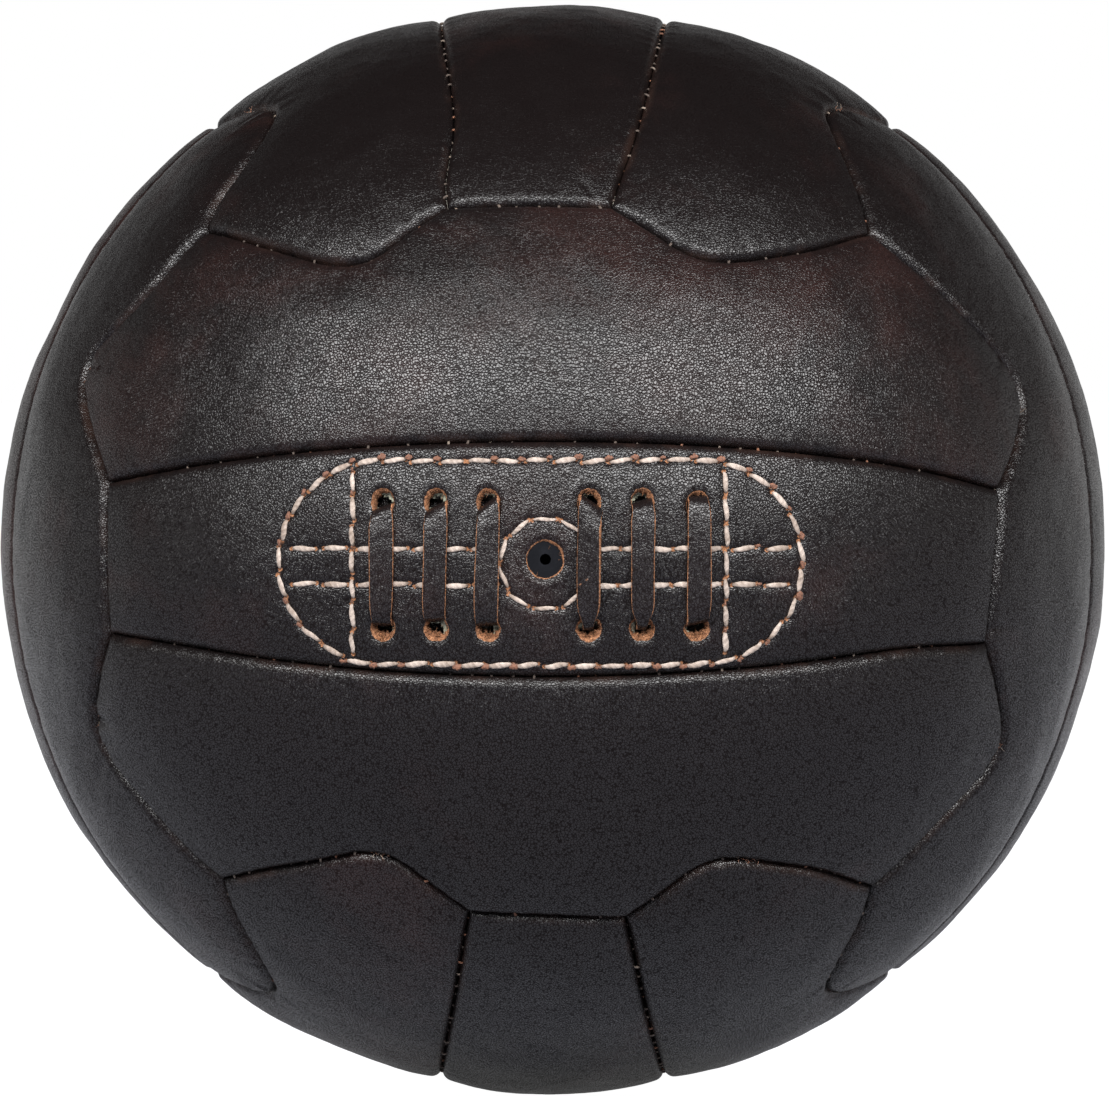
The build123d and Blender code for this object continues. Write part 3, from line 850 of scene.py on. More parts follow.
def hole_patch(directions, rows, columns, hole, half_cells, start):
    """Replaces a square of grid cells about a hole by rings of vertices that end on the hole's edge.
    Gives the cells to drop, the new directions, which begin at vertex start, the new faces, the vertices
    around the square and along the hole's edge, and the angles of those about the hole's middle."""
    grid = directions.reshape(rows, columns, 3)
    spots = grid[:, :, [0, 2]] * RADIUS
    apart = np.linalg.norm(spots - hole.middle, axis=2) + 1000 * (grid[:, :, 1] > 0)
    i, j = np.unravel_index(apart.argmin(), apart.shape)
    low_i, low_j, size = i - half_cells, j - half_cells, 2 * half_cells
    block = np.arange(rows * columns).reshape(rows, columns)[low_i:low_i + size + 1, low_j:low_j + size + 1]
    loop = block.ravel()[edge_loop(size + 1, size + 1)]
    drop = np.zeros((rows - 1, columns - 1), bool)
    drop[low_i:low_i + size, low_j:low_j + size] = True
    square = directions[loop][:, [0, 2]] * RADIUS
    away = square - hole.middle
    turns = np.arctan2(away[:, 1] / hole.half[1], away[:, 0] / hole.half[0])
    edge = hole.middle + hole.outline(turns)
    rings = []
    count = max(3, int((half_cells * PATCH_GRID * 1.1 - hole.half.mean()) / 0.34))
    for share in np.linspace(0, 1, count + 1)[1:]:
        eased = share * (1.25 - 0.25 * share)
        rings.append(square * (1 - eased) + edge * eased)
    points = np.concatenate(rings)
    numbers = [loop] + [start + k * len(loop) + np.arange(len(loop)) for k in range(count)]
    quads = np.concatenate([ring_quads(a, b) for a, b in zip(numbers[:-1], numbers[1:])])
    return drop, to_direction(points[:, 0], points[:, 1]), quads, loop, numbers[-1], turns


class Shape:
    """A mesh in the making: vertices in millimetres, faces, and values for each vertex."""

    def __init__(self, **defaults):
        self.vertices, self.faces, self.count = [], [], 0
        self.defaults = defaults
        self.values = {key: [] for key in defaults}

    def add(self, vertices, faces, **values):
        """Adds a lump of mesh and gives the number of its first vertex."""
        first = self.count
        self.vertices.append(np.asarray(vertices, float))
        self.faces += [[first + int(k) for k in face] for face in faces]
        self.count += len(vertices)
        for key, default in self.defaults.items():
            given = values.get(key, default)
            shape = (len(vertices),) + np.shape(default)
            self.values[key].append(np.broadcast_to(given, shape))
        return first

    def build(self, name, material, slot, *nodes):
        """Makes the object, which rides on the ball's one body in place of those CAD nodes."""
        attributes = {key: np.concatenate(values) for key, values in self.values.items()}
        made = mesh_object(name, np.concatenate(self.vertices), self.faces, attributes, material)
        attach(made, "root")
        if nodes:
            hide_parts(*nodes)
        return made


def oval(sides):
    """A round cross-section of radius one."""
    turns = np.linspace(0, 2 * math.pi, sides, endpoint=False)
    return np.stack([np.cos(turns), np.sin(turns)], 1)


def tube_faces(rows, sides):
    """Faces of a closed tube whose vertices are numbered ring by ring."""
    numbers = np.arange(rows * sides).reshape(rows, sides)
    after = np.roll(numbers, -1, axis=1)
    quads = np.stack([numbers[:-1], after[:-1], after[1:], numbers[1:]], -1).reshape(-1, 4).tolist()
    return quads + [numbers[0, ::-1].tolist(), numbers[-1].tolist()]


def sweep(centres, ups, wide, high, profile, across=None):
    """A closed tube through centres. Its section is the profile times half width and half height."""
    centres = np.asarray(centres, float)
    if across is None:
        ahead = unit(np.gradient(centres, axis=0))
        across = unit(np.cross(ahead, ups))
        ups = np.cross(across, ahead)
    wide, high = (np.broadcast_to(v, len(centres))[:, None, None] for v in (wide, high))
    sideways, upwards = profile[None, :, :1] * wide, profile[None, :, 1:] * high
    rings = centres[:, None] + across[:, None] * sideways + ups[:, None] * upwards
    return rings.reshape(-1, 3), tube_faces(len(centres), len(profile))


def hair(shape, start, aim, length, radius, rng, **values):
    """One loose fibre: a thin bent tube from a point."""
    steps = np.linspace(0, 1, 5)[:, None]
    bend = rng.normal(0, 0.45, 3)
    path = start + length * (unit(aim) * steps + bend * steps**2 * 0.6)
    thin = radius * (1 - 0.75 * steps[:, 0])
    vertices, faces = sweep(path, np.broadcast_to(unit(start), path.shape), thin, thin, oval(3))
    shape.add(vertices, faces, **values)


def crumb(shape, centre, ahead, outward, sizes, rng, **values):
    """One crumb of pulled-up leather fibre: a small rough lump with a few hairs."""
    rows, sides = 7, 10
    across = np.cross(outward, ahead)
    path = centre + ahead * np.linspace(-1, 1, rows)[:, None] * sizes[0]
    swell = np.sqrt(np.maximum(1 - np.linspace(-0.97, 0.97, rows) ** 2, 0))
    rough = 1 + 0.28 * rng.normal(size=(rows, sides, 1))
    offset = (oval(sides) * sizes[1:])[None] * swell[:, None, None] * rough
    vertices = path[:, None] + across * offset[:, :, :1] + outward * offset[:, :, 1:]
    shape.add(vertices.reshape(-1, 3), tube_faces(rows, sides), **values)
    for _ in range(rng.integers(1, 4)):
        start = centre + ahead * rng.uniform(-0.7, 0.7) * sizes[0]
        hair(shape, start, outward * 0.5 + rng.normal(0, 0.7, 3), rng.uniform(0.4, 1.0), 0.06, rng, **values)


def make_lace_panel(seams, patch, leather):
    """The front middle strip, pierced for the lace and the valve."""
    borders = panel_borders(True, 1)
    wide, tall = strip_size(borders)
    fine_half = 57 / wide
    ends = spread(wide, 0.85)
    fine = np.linspace(0.5 - fine_half, 0.5 + fine_half, int(2 * fine_half * wide / PATCH_GRID))
    us = np.concatenate([ends[ends < fine[0] - 0.002], fine, ends[ends > fine[-1] + 0.002]])
    vs = spread(tall, PATCH_GRID)
    axes = face_axes("front")
    outer, inner = (inset_grid(borders, us, vs, inset / tall) for inset in (HALF_GAP, LEATHER_FOLD))
    rows, columns = outer.shape[:2]
    directions = pulled(outer.reshape(-1, 3) @ axes)
    inner_directions = pulled(inner.reshape(-1, 3) @ axes)
    found = []
    extra, start = [], rows * columns
    dropped = np.zeros((rows - 1, columns - 1), bool)
    for hole in patch.holes:
        cells = 10 if hole.for_lace else 12
        drop, more, quads, loop, edge, turns = hole_patch(directions, rows, columns, hole, cells, start)
        dropped |= drop
        extra.append(more)
        start += len(more)
        found.append((hole, quads, loop, edge, turns))
    every = np.concatenate([directions] + extra)
    around = around_panel(seams, "front", True, 1)
    height, closest = cover_height(every, around)
    change, raw = patch.relief(every)
    surface = ball_shape(every, height + change)
    count = rows * columns
    vertices, quads, _ = close_panel(directions, inner_directions, surface[:count], rows, columns)
    cells = (rows - 1) * (columns - 1)
    keep = np.concatenate([~dropped.ravel(), ~dropped.ravel(), np.ones(len(quads) - 2 * cells, bool)])
    shift = np.random.default_rng(9).uniform(-1, 1, 3)
    shape = Shape(seam_distance=0.0, raw=0.0, depth=0.0, tone=-0.3, grain_shift=tuple(shift))
    hidden = len(vertices) - count
    shape.add(
        vertices,
        quads[keep].tolist(),
        seam_distance=np.concatenate([closest[:count], np.zeros(hidden)]),
        raw=np.concatenate([raw[:count], np.zeros(hidden)]),
    )
    base = shape.count
    shape.add(surface[count:], [], seam_distance=closest[count:], raw=raw[count:])
    rng = np.random.default_rng(41)
    for hole, ring, loop, edge, turns in found:
        moved = np.where(ring >= count, ring - count + base, ring)[:, ::-1]
        shape.faces += moved.tolist()
        add_wall(shape, hole, surface[edge], edge - count + base, loop + count, turns, rng)
        add_fray(shape, hole, rng)
    return shape.build("front_lace_panel_leather", leather, "leather", "front_lace_panel")


def add_wall(shape, hole, rim, rim_numbers, inner_loop, turns, rng):
    """The hole's cut wall, from its edge on the leather's face down to the leather's back."""
    radii = np.linalg.norm(rim, axis=1)
    before = rim_numbers
    outline = hole.outline(turns)
    reach = np.linalg.norm(outline, axis=1)
    for depth in (0.15, 0.4, 0.8, 1.3, 1.8, 2.4):
        eased = math.sin(min(depth / 1.5, 1) * math.pi / 2)
        inward = hole.lip(turns) * eased + rng.normal(0, 0.05, len(turns))
        spots = hole.middle + outline * (1 - inward / reach)[:, None]
        ring = to_direction(spots[:, 0], spots[:, 1]) * (radii - depth)[:, None]
        # The wall is bare fibre, given painted shade that deepens the further down it lies.
        first = shape.add(ring, [], raw=1.0, depth=0.25 * depth)
        numbers = first + np.arange(len(turns))
        shape.faces += ring_quads(before, numbers)[:, ::-1].tolist()
        before = numbers
    shape.faces += ring_quads(before, inner_loop)[:, ::-1].tolist()


def add_fray(shape, hole, rng):
    """Loose fibres along the sloping side of a hole's wall."""
    count, scatter = (int(30 + 25 * hole.slope), 0.85) if hole.for_lace else (26, 2.6)
    for _ in range(count):
        turn = hole.slope_turn + rng.normal(0, scatter)
        depth = rng.uniform(0.0, 1.3)
        outline = hole.outline(np.array([turn]))[0]
        inward = hole.lip(np.array([turn]))[0] * math.sin(min(depth / 1.5, 1) * math.pi / 2)
        away = unit(outline)
        spot = hole.middle + outline - away * (inward - 0.05)
        outward = to_direction(spot[0], spot[1])
        aim = outward * rng.uniform(0.1, 0.9) + np.array([-away[0], 0, -away[1]]) * rng.uniform(-0.1, 0.8)
        side = np.array([-away[1], 0, away[0]]) * rng.normal(0, 0.8)
        start = outward * (RADIUS - 0.35 - depth)
        length, radius = rng.uniform(0.35, 1.0), rng.uniform(0.045, 0.085)
        # Painted shade: the fibre is darkened a little more the deeper it starts.
        hair(shape, start, aim + side, length, radius, rng, raw=1.0, depth=0.15 * depth)


def make_patch_stitches(seams, patch, thread):
    """The patch's hand stitches, with crumbs of leather fibre where the awl went through."""
    around = around_panel(seams, "front", True, 1)
    shares = np.linspace(-1, 1, 19)
    rng = np.random.default_rng(55)
    for name, stitches in patch.stitches.items():
        shape = Shape(raw=0.0, dip=0.0, lay=(0.0, 0.0, 0.0))
        spots = np.concatenate([
            np.array([side, up]) + np.outer(shares, [ahead_side, ahead_up]) * length / 2
            for side, up, ahead_side, ahead_up, length, _ in stitches
        ])
        directions = to_direction(spots[:, 0], spots[:, 1])
        height, _ = cover_height(directions, around)
        ground = directions * (RADIUS + height - 0.24)[:, None]
        for number, (side, up, ahead_side, ahead_up, length, width) in enumerate(stitches):
            part = slice(number * len(shares), (number + 1) * len(shares))
            outward, floor = directions[part], ground[part]
            slim = 0.78 if name == "valve_ring_stitches" else 1.0
            swell = np.sqrt(np.maximum(1 - np.abs(shares) ** 2.6, 0.02))
            lift = 0.30 * swell - 0.55 * np.abs(shares) ** 7
            skew = rng.uniform(-0.14, 0.14)
            path = floor + outward * lift[:, None]
            path += np.outer(skew * np.sin(math.pi * shares), [-ahead_up, 0, ahead_side])
            strand = np.repeat(shares * length / 2, 14)
            turns = np.tile(np.linspace(0, 2 * math.pi, 14, endpoint=False), len(shares))
            ply = 1 + 0.045 * np.cos(2 * turns + 2 * math.pi * strand / 2.6)
            vertices, faces = sweep(path, outward, width / 2 * slim * swell, 0.33 * slim * swell, oval(14))
            middle = np.repeat(path, 14, axis=0)
            vertices = middle + (vertices - middle) * ply[:, None]
            lay = np.stack([strand, turns * 0.35, np.full(len(strand), 3.7 * number)], 1)
            # Painted shade: each stitch darkens towards its ends, where it dips into its holes.
            dip = np.repeat(np.abs(shares) ** 4, 14)
            shape.add(vertices, faces, lay=lay, dip=dip * rng.uniform(0.5, 1.0))
            if "ring" in name and number % 3 or "row" in name and number % 2:
                continue
            end = np.array([side, up]) + np.array([ahead_side, ahead_up]) * length * 0.60
            big = 1.0 if name == "outline_stitches" else 0.6
            if rng.uniform() < (0.9 if big == 1.0 else 0.5):
                lean = 0.35 if up > PATCH_DROP else -0.1
                spot = to_direction(end[0] + rng.normal(0, 0.12), end[1] + lean * big)
                ahead = np.array([ahead_side, 0, ahead_up])
                sizes = np.array([0.95, 0.55, 0.30]) * big * rng.uniform(0.65, 1.15)
                centre = spot * (RADIUS + height[part][-1] - 0.15)
                crumb(shape, centre, ahead, spot, sizes, rng, raw=1.0)
        shape.build(f"{name}_thread", thread, "patch_thread", name)


# One strap each: how far its upper and lower ends lie from the holes' middles, how its upper and lower ends
# slant, how much narrower its lower end is, and how it is rolled at the top and at the bottom
STRAPS = [
    (-2.3, 1.7, 0.42, -0.12, 0.85, -6, -8),
    (-2.1, 2.6, 0.60, 0.00, 0.90, -9, -6),
    (-1.3, 1.8, 0.85, 0.00, 0.94, -10, -6),
    (-1.3, 0.9, -0.90, 0.10, 0.45, 30, 10),
    (-1.2, 0.9, 0.22, 0.05, 0.42, 7, 9),
    (-0.2, 2.0, 0.00, 0.28, 0.90, 4, 7),
]
LACE_WIDTH = 4.8
LACE_THICKNESS = 1.25
LACE_UNDER_RADIUS = 110.6
LACE_TAIL = 12.0
STRAP_SAMPLES = 110
SCUFFED_STRAP = 3


def strip_section():
    """Section of the thong: round-cornered and a little crowned."""
    upper, lower = np.linspace(-0.93, 0.93, 15), np.linspace(0.9, -0.9, 7)
    corner = np.array([0.985, 1.0, 0.985])
    across = np.concatenate([upper, corner, lower, -corner])
    high = np.concatenate([1 - 0.14 * upper**2, [0.62, 0.0, -0.62], np.full(7, -0.9), [-0.62, 0.0, 0.62]])
    return np.stack([across, high], 1)[::-1]


def facing_out(normals, outward):
    """Normals along a path without sudden flips, facing outwards in its middle."""
    steady = normals.copy()
    for row in range(1, len(steady)):
        steady[row] *= math.copysign(1, steady[row] @ steady[row - 1])
    middle = len(steady) // 2
    return steady * math.copysign(1, steady[middle] @ outward[middle])


def fading(distance, reach):
    """One at and before the start of a distance, and fading out over the reach."""
    return np.exp(-((np.maximum(distance, 0) / reach) ** 2))


def strap_mesh(number, around):
    """One strap, out of its upper hole and into its lower one: vertices, faces, bare fibre and depth."""
    column, profile = LACE_COLUMNS[number], strip_section()
    upper, lower, slant, lower_slant, narrow, roll_top, roll_bottom = STRAPS[number]
    top, bottom = LACE_TOP + upper, LACE_BOTTOM + lower
    ups_and_lifts = [
        (top + 1.0, -5.0), (top + 0.85, -3.4), (top + 0.75, -1.8), (top + 0.35, -0.3), (top - 0.6, 0.72),
        (top - 2.2, 1.02), (top - 5.0, 1.10), ((top + bottom) / 2, 1.06), (bottom + 5.0, 1.10),
        (bottom + 2.4, 0.98), (bottom + 0.8, 0.55), (bottom - 0.1, -0.5), (bottom - 0.45, -1.9),
        (bottom - 0.5, -3.4), (bottom - 0.6, -5.0),
    ]
    up, lift = curve_through(ups_and_lifts, STRAP_SAMPLES).T
    below_top, above_bottom = top - up, up - bottom
    share = np.clip(below_top / (top - bottom), 0, 1)
    side = column + 0.12 * np.sin(3 * share + number) + 0.10 * (1 - 2 * share)
    direction = to_direction(side, up)
    height, _ = cover_height(direction, around)
    centre = direction * (RADIUS + height + lift)[:, None]
    ahead = unit(np.gradient(centre, axis=0))
    lean = slant * fading(below_top, 3.6) + lower_slant * fading(above_bottom, 3.4)
    slope = np.array([1.0, 0.0, 0.0]) + lean[:, None] * np.array([0.0, 0.0, 1.0])
    taper = (1 - (1 - narrow) * fading(above_bottom, 2.6)) * (1 - 0.14 * fading(below_top, 1.6))
    half = LACE_WIDTH / 2 * taper * (1 + 0.03 * np.sin(5.1 * share + 2 * number))
    shown = np.clip(share * 4, 0, 1) * np.clip((1 - share) * 6, 0, 1)
    turn = np.radians(roll_top * (1 - share) + roll_bottom * share) * np.clip(shown + 0.35, 0, 1)
    normal = facing_out(unit(np.cross(ahead, slope)), direction)
    rolled = slope * np.cos(turn)[:, None] + normal * np.sin(turn)[:, None]
    up_rolled = unit(np.cross(ahead, rolled))
    up_rolled *= np.sign(np.einsum("ij,ij->i", up_rolled, normal))[:, None]
    centre = centre + normal * (np.abs(np.sin(turn)) * half * 0.45)[:, None]
    vertices, faces = sweep(centre, up_rolled, half, LACE_THICKNESS / 2, profile, rolled)
    across = np.abs(profile[:, 0])
    edge = np.clip((across - 0.94) / 0.04, 0, 1)
    showing = profile[:, 0] * (1 if number < 3 else -1) > 0
    bevel = np.where(showing, np.clip((across - 0.80) / 0.12, 0, 1) * 0.52, 0)
    raw = np.tile(np.maximum(edge, bevel), len(centre))
    if number == SCUFFED_STRAP:
        raw = np.maximum(raw, scuffed(vertices))
    # The last array darkens the strap's cut edges where it dives into its holes: painted shade.
    return vertices, faces, raw, np.repeat(np.clip(-lift / 2.0, 0, 1), len(profile))


def make_lace(seams, lace_leather):
    """The whole thong as one piece: six straps, and the runs and two tails behind the patch."""
    around = around_panel(seams, "front", True, 1)
    rng = np.random.default_rng(63)
    shape = Shape(seam_distance=9.0, raw=0.0, depth=0.0, tone=-0.5, grain_shift=(0.31, 0.12, -0.4))
    for number in range(len(STRAPS)):
        vertices, faces, raw, depth = strap_mesh(number, around)
        vertices = vertices + 0.03 * ripples(vertices, 1.4, 80 + number)[:, None] * unit(vertices)
        shape.add(vertices, faces, raw=raw, depth=depth, tone=-0.5 + 0.3 * rng.uniform())
    first, second, third, fourth, fifth, sixth = LACE_COLUMNS
    runs = [
        ((first - LACE_TAIL, LACE_TOP), (first, LACE_TOP)),
        ((first, LACE_BOTTOM), (second, LACE_TOP)),
        ((second, LACE_BOTTOM), (third, LACE_TOP)),
        ((third, LACE_BOTTOM), (fourth, LACE_BOTTOM)),
        ((fourth, LACE_TOP), (fifth, LACE_BOTTOM)),
        ((fifth, LACE_TOP), (sixth, LACE_BOTTOM)),
        ((sixth, LACE_TOP), (sixth + LACE_TAIL, LACE_TOP)),
    ]
    for start, end in runs:
        line = np.linspace(start, end, 24)
        direction = to_direction(line[:, 0], line[:, 1])
        centre = direction * (LACE_UNDER_RADIUS - LACE_THICKNESS / 2)
        vertices, faces = sweep(centre, direction, LACE_WIDTH / 2, LACE_THICKNESS / 2, strip_section()[::-1])
        shape.add(vertices, faces, depth=1.0)
    return shape.build("lace_thong", lace_leather, "lace", "lace")


def scuffed(vertices):
    """The rubbed scratch across a strap, as a share of bare fibre."""
    start, end = np.array([6.5, -5.3]), np.array([9.2, -3.3])
    spots = vertices[:, [0, 2]]
    along = np.clip((spots - start) @ (end - start) / ((end - start) @ (end - start)), 0, 1)
    apart = np.linalg.norm(spots - start - along[:, None] * (end - start), axis=1)
    return 0.55 * np.exp(-((apart / 0.34) ** 2))


# Where thread ends and fibres stand out of the corner seams
THREAD_ENDS = [
    (-0.55, -0.23, 0.80), (0.54, -0.28, 0.78), (-0.84, -0.43, 0.33), (0.83, -0.49, 0.27),
    (-0.83, -0.47, -0.30), (0.81, -0.47, -0.35), (0.60, 0.20, 0.78), (-0.60, 0.20, 0.78),
    (0.82, 0.47, 0.31), (-0.82, 0.47, 0.31), (-0.30, -0.78, -0.55), (0.36, -0.76, -0.54),
]


def make_seam_threads(seams, thread):
    """The hidden stitches of the seams, seen as short bits of thread down in the grooves."""
    for kind, node in (("strip", "strip_seam_threads"), ("end", "edge_seam_threads")):
        shape = Shape(raw=0.0, dip=0.0, lay=(0.0, 0.0, 0.0))
        rng = np.random.default_rng(71 if kind == "strip" else 72)
        for (_, seam_kind, _), seam in seams.items():
            if seam_kind != kind:
                continue
            tangents = unit(np.gradient(seam.points, axis=0))
            for number in range(1, seam.count):
                index = int(np.abs(seam.phase - number).argmin())
                point, ahead = seam.points[index], tangents[index]
                across = np.cross(point, ahead)
                proud = rng.uniform(-1.1, 0.15)
                steps = np.linspace(-1, 1, 7)
                slant = rng.uniform(-0.5, 0.5)
                path = point * (RADIUS - 2.25 + proud - 0.35 * steps[:, None] ** 2)
                path = path + (across + slant * ahead) * steps[:, None] * rng.uniform(0.5, 0.85)
                vertices, faces = sweep(path, np.broadcast_to(point, path.shape), 0.26, 0.2, oval(7))
                brown = 1.0 if rng.uniform() < 0.2 else 0.0
                # Painted shade: each bit of thread is darkened as a whole, for lying down in the groove.
                dip, lay = rng.uniform(0.5, 1.0), (rng.uniform(0, 9), 0, 0)
                shape.add(vertices, faces, raw=brown, dip=dip, lay=lay)
        for place in THREAD_ENDS if kind == "end" else ():
            add_thread_end(shape, seams, unit(np.array(place)), rng)
        shape.build(f"{node}_bits", thread, "seam_thread", node)


def add_thread_end(shape, seams, place, rng):
    """A small brush of thread ends on the seam nearest to a place."""
    end_seams = [seam for (_, kind, _), seam in seams.items() if kind == "end"]
    best = max(end_seams, key=lambda seam: (seam.points @ place).max())
    index = int((best.points @ place).argmax())
    point = best.points[index]
    ahead = unit(best.points[min(index + 3, len(best.points) - 1)] - best.points[index - 3])
    for _ in range(7):
        start = point * (RADIUS - 1.9) + ahead * rng.normal(0, 0.9)
        aim = point * rng.uniform(0.35, 0.9) + rng.normal(0, 0.6, 3)
        length, radius, brown = rng.uniform(0.9, 1.9), rng.uniform(0.08, 0.15), rng.uniform() < 0.7
        hair(shape, start, aim, length, radius, rng, raw=float(brown))


# Stage, light and camera

# How much of the picture's width the ball fills
BALL_SHARE = 0.98846


def make_stage():
    """A pale floor, white to the camera, which glows more softly behind the ball than in front."""
    mesh = bpy.data.meshes.new("floor")
    half, low = 30.0, -RADIUS * MM
    corners = [(-half, -half, low), (half, -half, low), (half, half, low), (-half, half, low)]
    mesh.from_pydata(corners, [], [(0, 1, 2, 3)])
    floor = bpy.data.objects.new("floor", mesh)
    bpy.context.scene.collection.objects.link(floor)
    n = Nodes("pale_floor")
    split = n.add("ShaderNodeSeparateXYZ", Vector=n.place())
    behind = n.remap(split.outputs["Y"], -0.5, 0.9, 0.05, 0.60)
    seen = n.add("ShaderNodeLightPath").outputs["Is Camera Ray"]
    glow = n.math("MAXIMUM", behind, seen)
    n.set(Base_Color=srgb(120, 122, 134), Roughness=0.8)
    n.set(Emission_Color=srgb(255, 255, 255), Emission_Strength=glow)
    mesh.materials.append(n.material)


def make_world():
    """White to the camera. As light it is brighter behind and beside the ball, and dark overhead."""
    world = bpy.data.worlds.new("studio")
    bpy.context.scene.world = world
    world.use_nodes = True
    tree = world.node_tree

    def add(kind, operation=None, *values):
        node = tree.nodes.new(kind)
        if operation:
            node.operation = operation
        for number, value in enumerate(values):
            if isinstance(value, bpy.types.NodeSocket):
                tree.links.new(value, node.inputs[number])
            else:
                node.inputs[number].default_value = value
        return node

    split = add("ShaderNodeSeparateXYZ", None, add("ShaderNodeTexCoord").outputs["Generated"])
    back = add("ShaderNodeMath", "MULTIPLY_ADD", split.outputs["Y"], 0.30, 0.31).outputs[0]
    sides = add("ShaderNodeMath", "ABSOLUTE", split.outputs["X"]).outputs[0]
    level = add("ShaderNodeMath", "MULTIPLY_ADD", sides, 0.20, back).outputs[0]
    overhead = add("ShaderNodeMath", "MULTIPLY_ADD", split.outputs["Z"], -2.1, 1.0).outputs[0]
    overhead = add("ShaderNodeMath", "MAXIMUM", overhead, 0.03).outputs[0]
    level = add("ShaderNodeMath", "MULTIPLY", level, overhead).outputs[0]
    seen = add("ShaderNodeLightPath").outputs["Is Camera Ray"]
    level = add("ShaderNodeMath", "MAXIMUM", level, seen).outputs[0]
    background = tree.nodes["Background"]
    tree.links.new(level, background.inputs["Strength"])
    background.inputs["Color"].default_value = (1.0, 1.0, 1.0, 1.0)


def seen_from(azimuth, elevation):
    """The direction to a place around the ball. Azimuth 0 is in front, and grows to the ball's left."""
    turn, rise = math.radians(azimuth), math.radians(elevation)
    return Vector((-math.sin(turn) * math.cos(rise), -math.cos(turn) * math.cos(rise), math.sin(rise)))


def soft_light(name, azimuth):
    """A rectangular soft box above eye level, aimed at the ball."""
    place = seen_from(azimuth, 32) * 1.7
    data = bpy.data.lights.new(name, "AREA")
    data.shape = "RECTANGLE"
    data.size, data.size_y = 1.6, 0.62
    data.energy = 49
    light = bpy.data.objects.new(name, data)
    light.location = place
    light.rotation_euler = (-place).to_track_quat("-Z", "Y").to_euler()
    light.visible_camera = False
    bpy.context.scene.collection.objects.link(light)


def make_camera():
    """A long lens a little above the ball's middle, facing the patch."""
    distance = 18.5
    data = bpy.data.cameras.new("camera")
    data.sensor_width = 36.0
    data.lens = BALL_SHARE * data.sensor_width / 2 * math.sqrt(distance**2 - 1)
    data.shift_x = 0.001
    data.shift_y = 0.0003
    camera = bpy.data.objects.new("camera", data)
    place = seen_from(-0.8, 1.1)
    camera.location = place * distance * RADIUS * MM
    camera.rotation_euler = (-place).to_track_quat("-Z", "Y").to_euler()
    bpy.context.scene.collection.objects.link(camera)
    bpy.context.scene.camera = camera


# Putting the ball together

def make_panels(seams, leather):
    """The leather strips, apart from the pierced one, each in place of its CAD node."""
    grids = {}
    for middle, side in ((True, 1), (False, 1), (False, -1)):
        borders = panel_borders(middle, side)
        wide, tall = strip_size(borders)
        us, vs = spread(wide, PANEL_GRID), spread(tall, PANEL_GRID)
        pair = [inset_grid(borders, us, vs, inset / tall) for inset in (HALF_GAP, LEATHER_FOLD)]
        grids[middle, side] = [grid[::side] for grid in pair]
    for number, face in enumerate(FACES):
        axes = face_axes(face)
        for strip, side in zip(STRIPS[face], (1, 0, -1)):
            if strip == "lace":
                continue
            middle = side == 0
            outer, inner = grids[middle, side or 1]
            rows, columns = outer.shape[:2]
            directions = pulled(outer.reshape(-1, 3) @ axes)
            inner_directions = pulled(inner.reshape(-1, 3) @ axes)
            height, closest = cover_height(directions, around_panel(seams, face, middle, side))
            surface = ball_shape(directions, height)
            vertices, quads, _ = close_panel(directions, inner_directions, surface, rows, columns)
            rng = np.random.default_rng(500 + 10 * number + side)
            shift = tuple(rng.uniform(-1, 1, 3))
            tone = rng.uniform(-1, 1)
            shape = Shape(seam_distance=0.0, raw=0.0, depth=0.0, tone=tone, grain_shift=shift)
            hidden = np.zeros(len(vertices) - len(surface))
            shape.add(vertices, quads.tolist(), seam_distance=np.concatenate([closest, hidden]))
            name = f"{face}_{strip}_panel"
            shape.build(f"{name}_leather", leather, "leather", name)


def rough_openings(directions, patch):
    """Where the canvas is cut away behind the patch's holes, unevenly."""
    spots = directions[:, [0, 2]] * RADIUS
    rough = 0.25 * ripples(directions * RADIUS, 1.6, 19)
    found = np.zeros(len(directions), bool)
    for hole in patch.holes:
        shrink, offset = (0.95, -0.55 if hole.middle[0] < 0 else 0.4) if hole.for_lace else (0.35, 0.0)
        apart = np.linalg.norm(spots - hole.middle - [offset, -0.35], axis=1)
        found |= apart + rough < hole.half.mean() - shrink
    return found


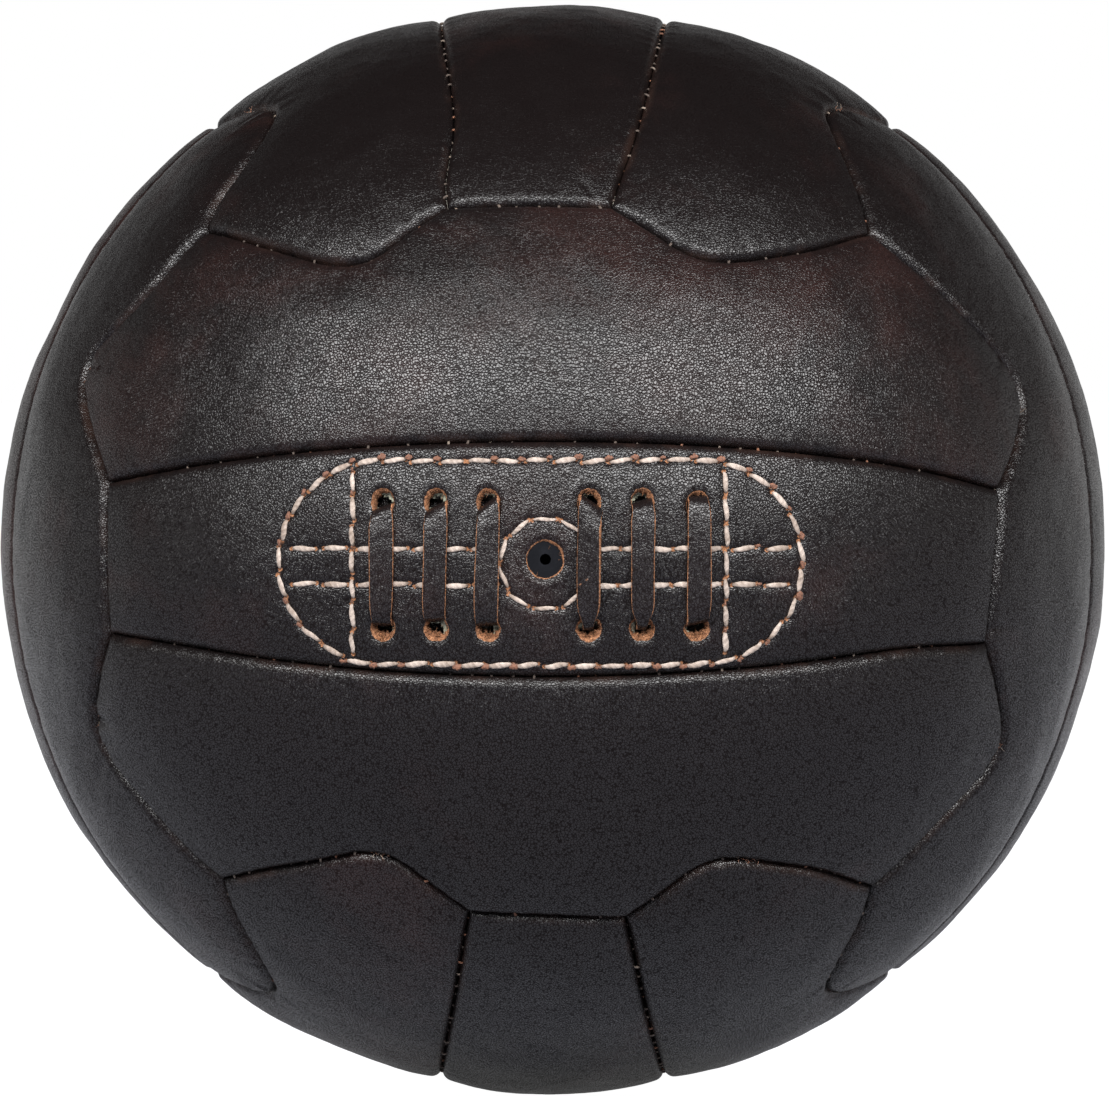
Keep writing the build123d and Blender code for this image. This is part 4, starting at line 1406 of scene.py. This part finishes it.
def make_linings(patch, canvas):
    """Canvas glued behind each strip. Behind the patch it is cut roughly open for the lace and the valve."""
    for face in FACES:
        axes = face_axes(face)
        for strip, side in zip(STRIPS[face], (1, 0, -1)):
            laced = strip == "lace"
            borders = panel_borders(side == 0, side or 1)
            wide, tall = strip_size(borders)
            step = 0.55 if laced else 2.4
            us, vs = (np.linspace(0, 1, int(size / step)) for size in (wide, tall))
            grid = inset_grid(borders, us, vs, CANVAS_FOLD / tall)[::side or 1]
            rows, columns = grid.shape[:2]
            directions = pulled(grid.reshape(-1, 3) @ axes)
            quads = grid_quads(rows, columns)
            if laced:
                quads = quads[~rough_openings(directions, patch)[quads].any(1)]
            count = rows * columns
            border = edge_loop(rows, columns)
            outside = LEATHER_INSIDE - GLUE_GAP
            vertices = np.concatenate([directions * outside, directions * (outside - CANVAS_THICKNESS)])
            faces = np.concatenate([quads, quads[:, ::-1] + count, ring_quads(border, border + count)])
            shape = Shape(raw=0.0)
            shape.add(vertices, faces.tolist())
            shape.build(f"{face}_{strip}_canvas", canvas, "canvas", f"{face}_{strip}_lining")


def dress(material, slot, *names):
    """Gives CAD nodes that keep their shape a real surface."""
    for name in names:
        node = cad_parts[name]
        node.data.materials.clear()
        node.data.materials.append(material)


def make_inside(canvas):
    """Surfaces of the pieces behind the leather whose CAD shape is already right."""
    dress(canvas, "canvas", "lace_backing_patch")
    valve = rubber_material("valve_rubber", srgb(10, 11, 15), 0.5, 0.08)
    dress(valve, "valve_rubber", "valve_housing", "valve_plug")
    rubber = rubber_material("bladder_rubber", srgb(34, 33, 33), 0.55, 0.4)
    dress(rubber, "bladder_rubber", "bladder", "valve_base_patch")
    tan = leather_material("washer_leather", srgb(150, 106, 70), srgb(168, 120, 82))
    dress(tan, "washer", "valve_washer")
    felt = felt_material("wool_felt", srgb(170, 164, 152), srgb(112, 106, 98))
    for half in ("padding_front_half", "padding_back_half"):
        dress(felt, "felt", half)


def main():
    seams = make_seams()
    patch = Patch()
    leather = leather_material("panel_leather", srgb(16, 12, 12), srgb(38, 23, 21))
    lace_leather = leather_material("lace_leather", srgb(22, 17, 17), srgb(44, 27, 23), grain=0.8)
    thread = thread_material("patch_thread", srgb(170, 156, 146), srgb(116, 100, 88), srgb(120, 78, 56))
    seam_thread = thread_material("seam_thread", srgb(156, 140, 124), srgb(62, 50, 42), srgb(124, 78, 50))
    make_panels(seams, leather)
    make_lace_panel(seams, patch, leather)
    make_patch_stitches(seams, patch, thread)
    make_lace(seams, lace_leather)
    make_seam_threads(seams, seam_thread)
    canvas = weave_material("cotton_canvas", srgb(166, 168, 148), srgb(96, 98, 84), 0.0007)
    make_linings(patch, canvas)
    make_inside(canvas)
    make_stage()
    make_world()
    soft_light("key_left", azimuth=31)
    soft_light("key_right", azimuth=-34)
    make_camera()


main()
bpy.context.scene.view_settings.view_transform = "Standard"
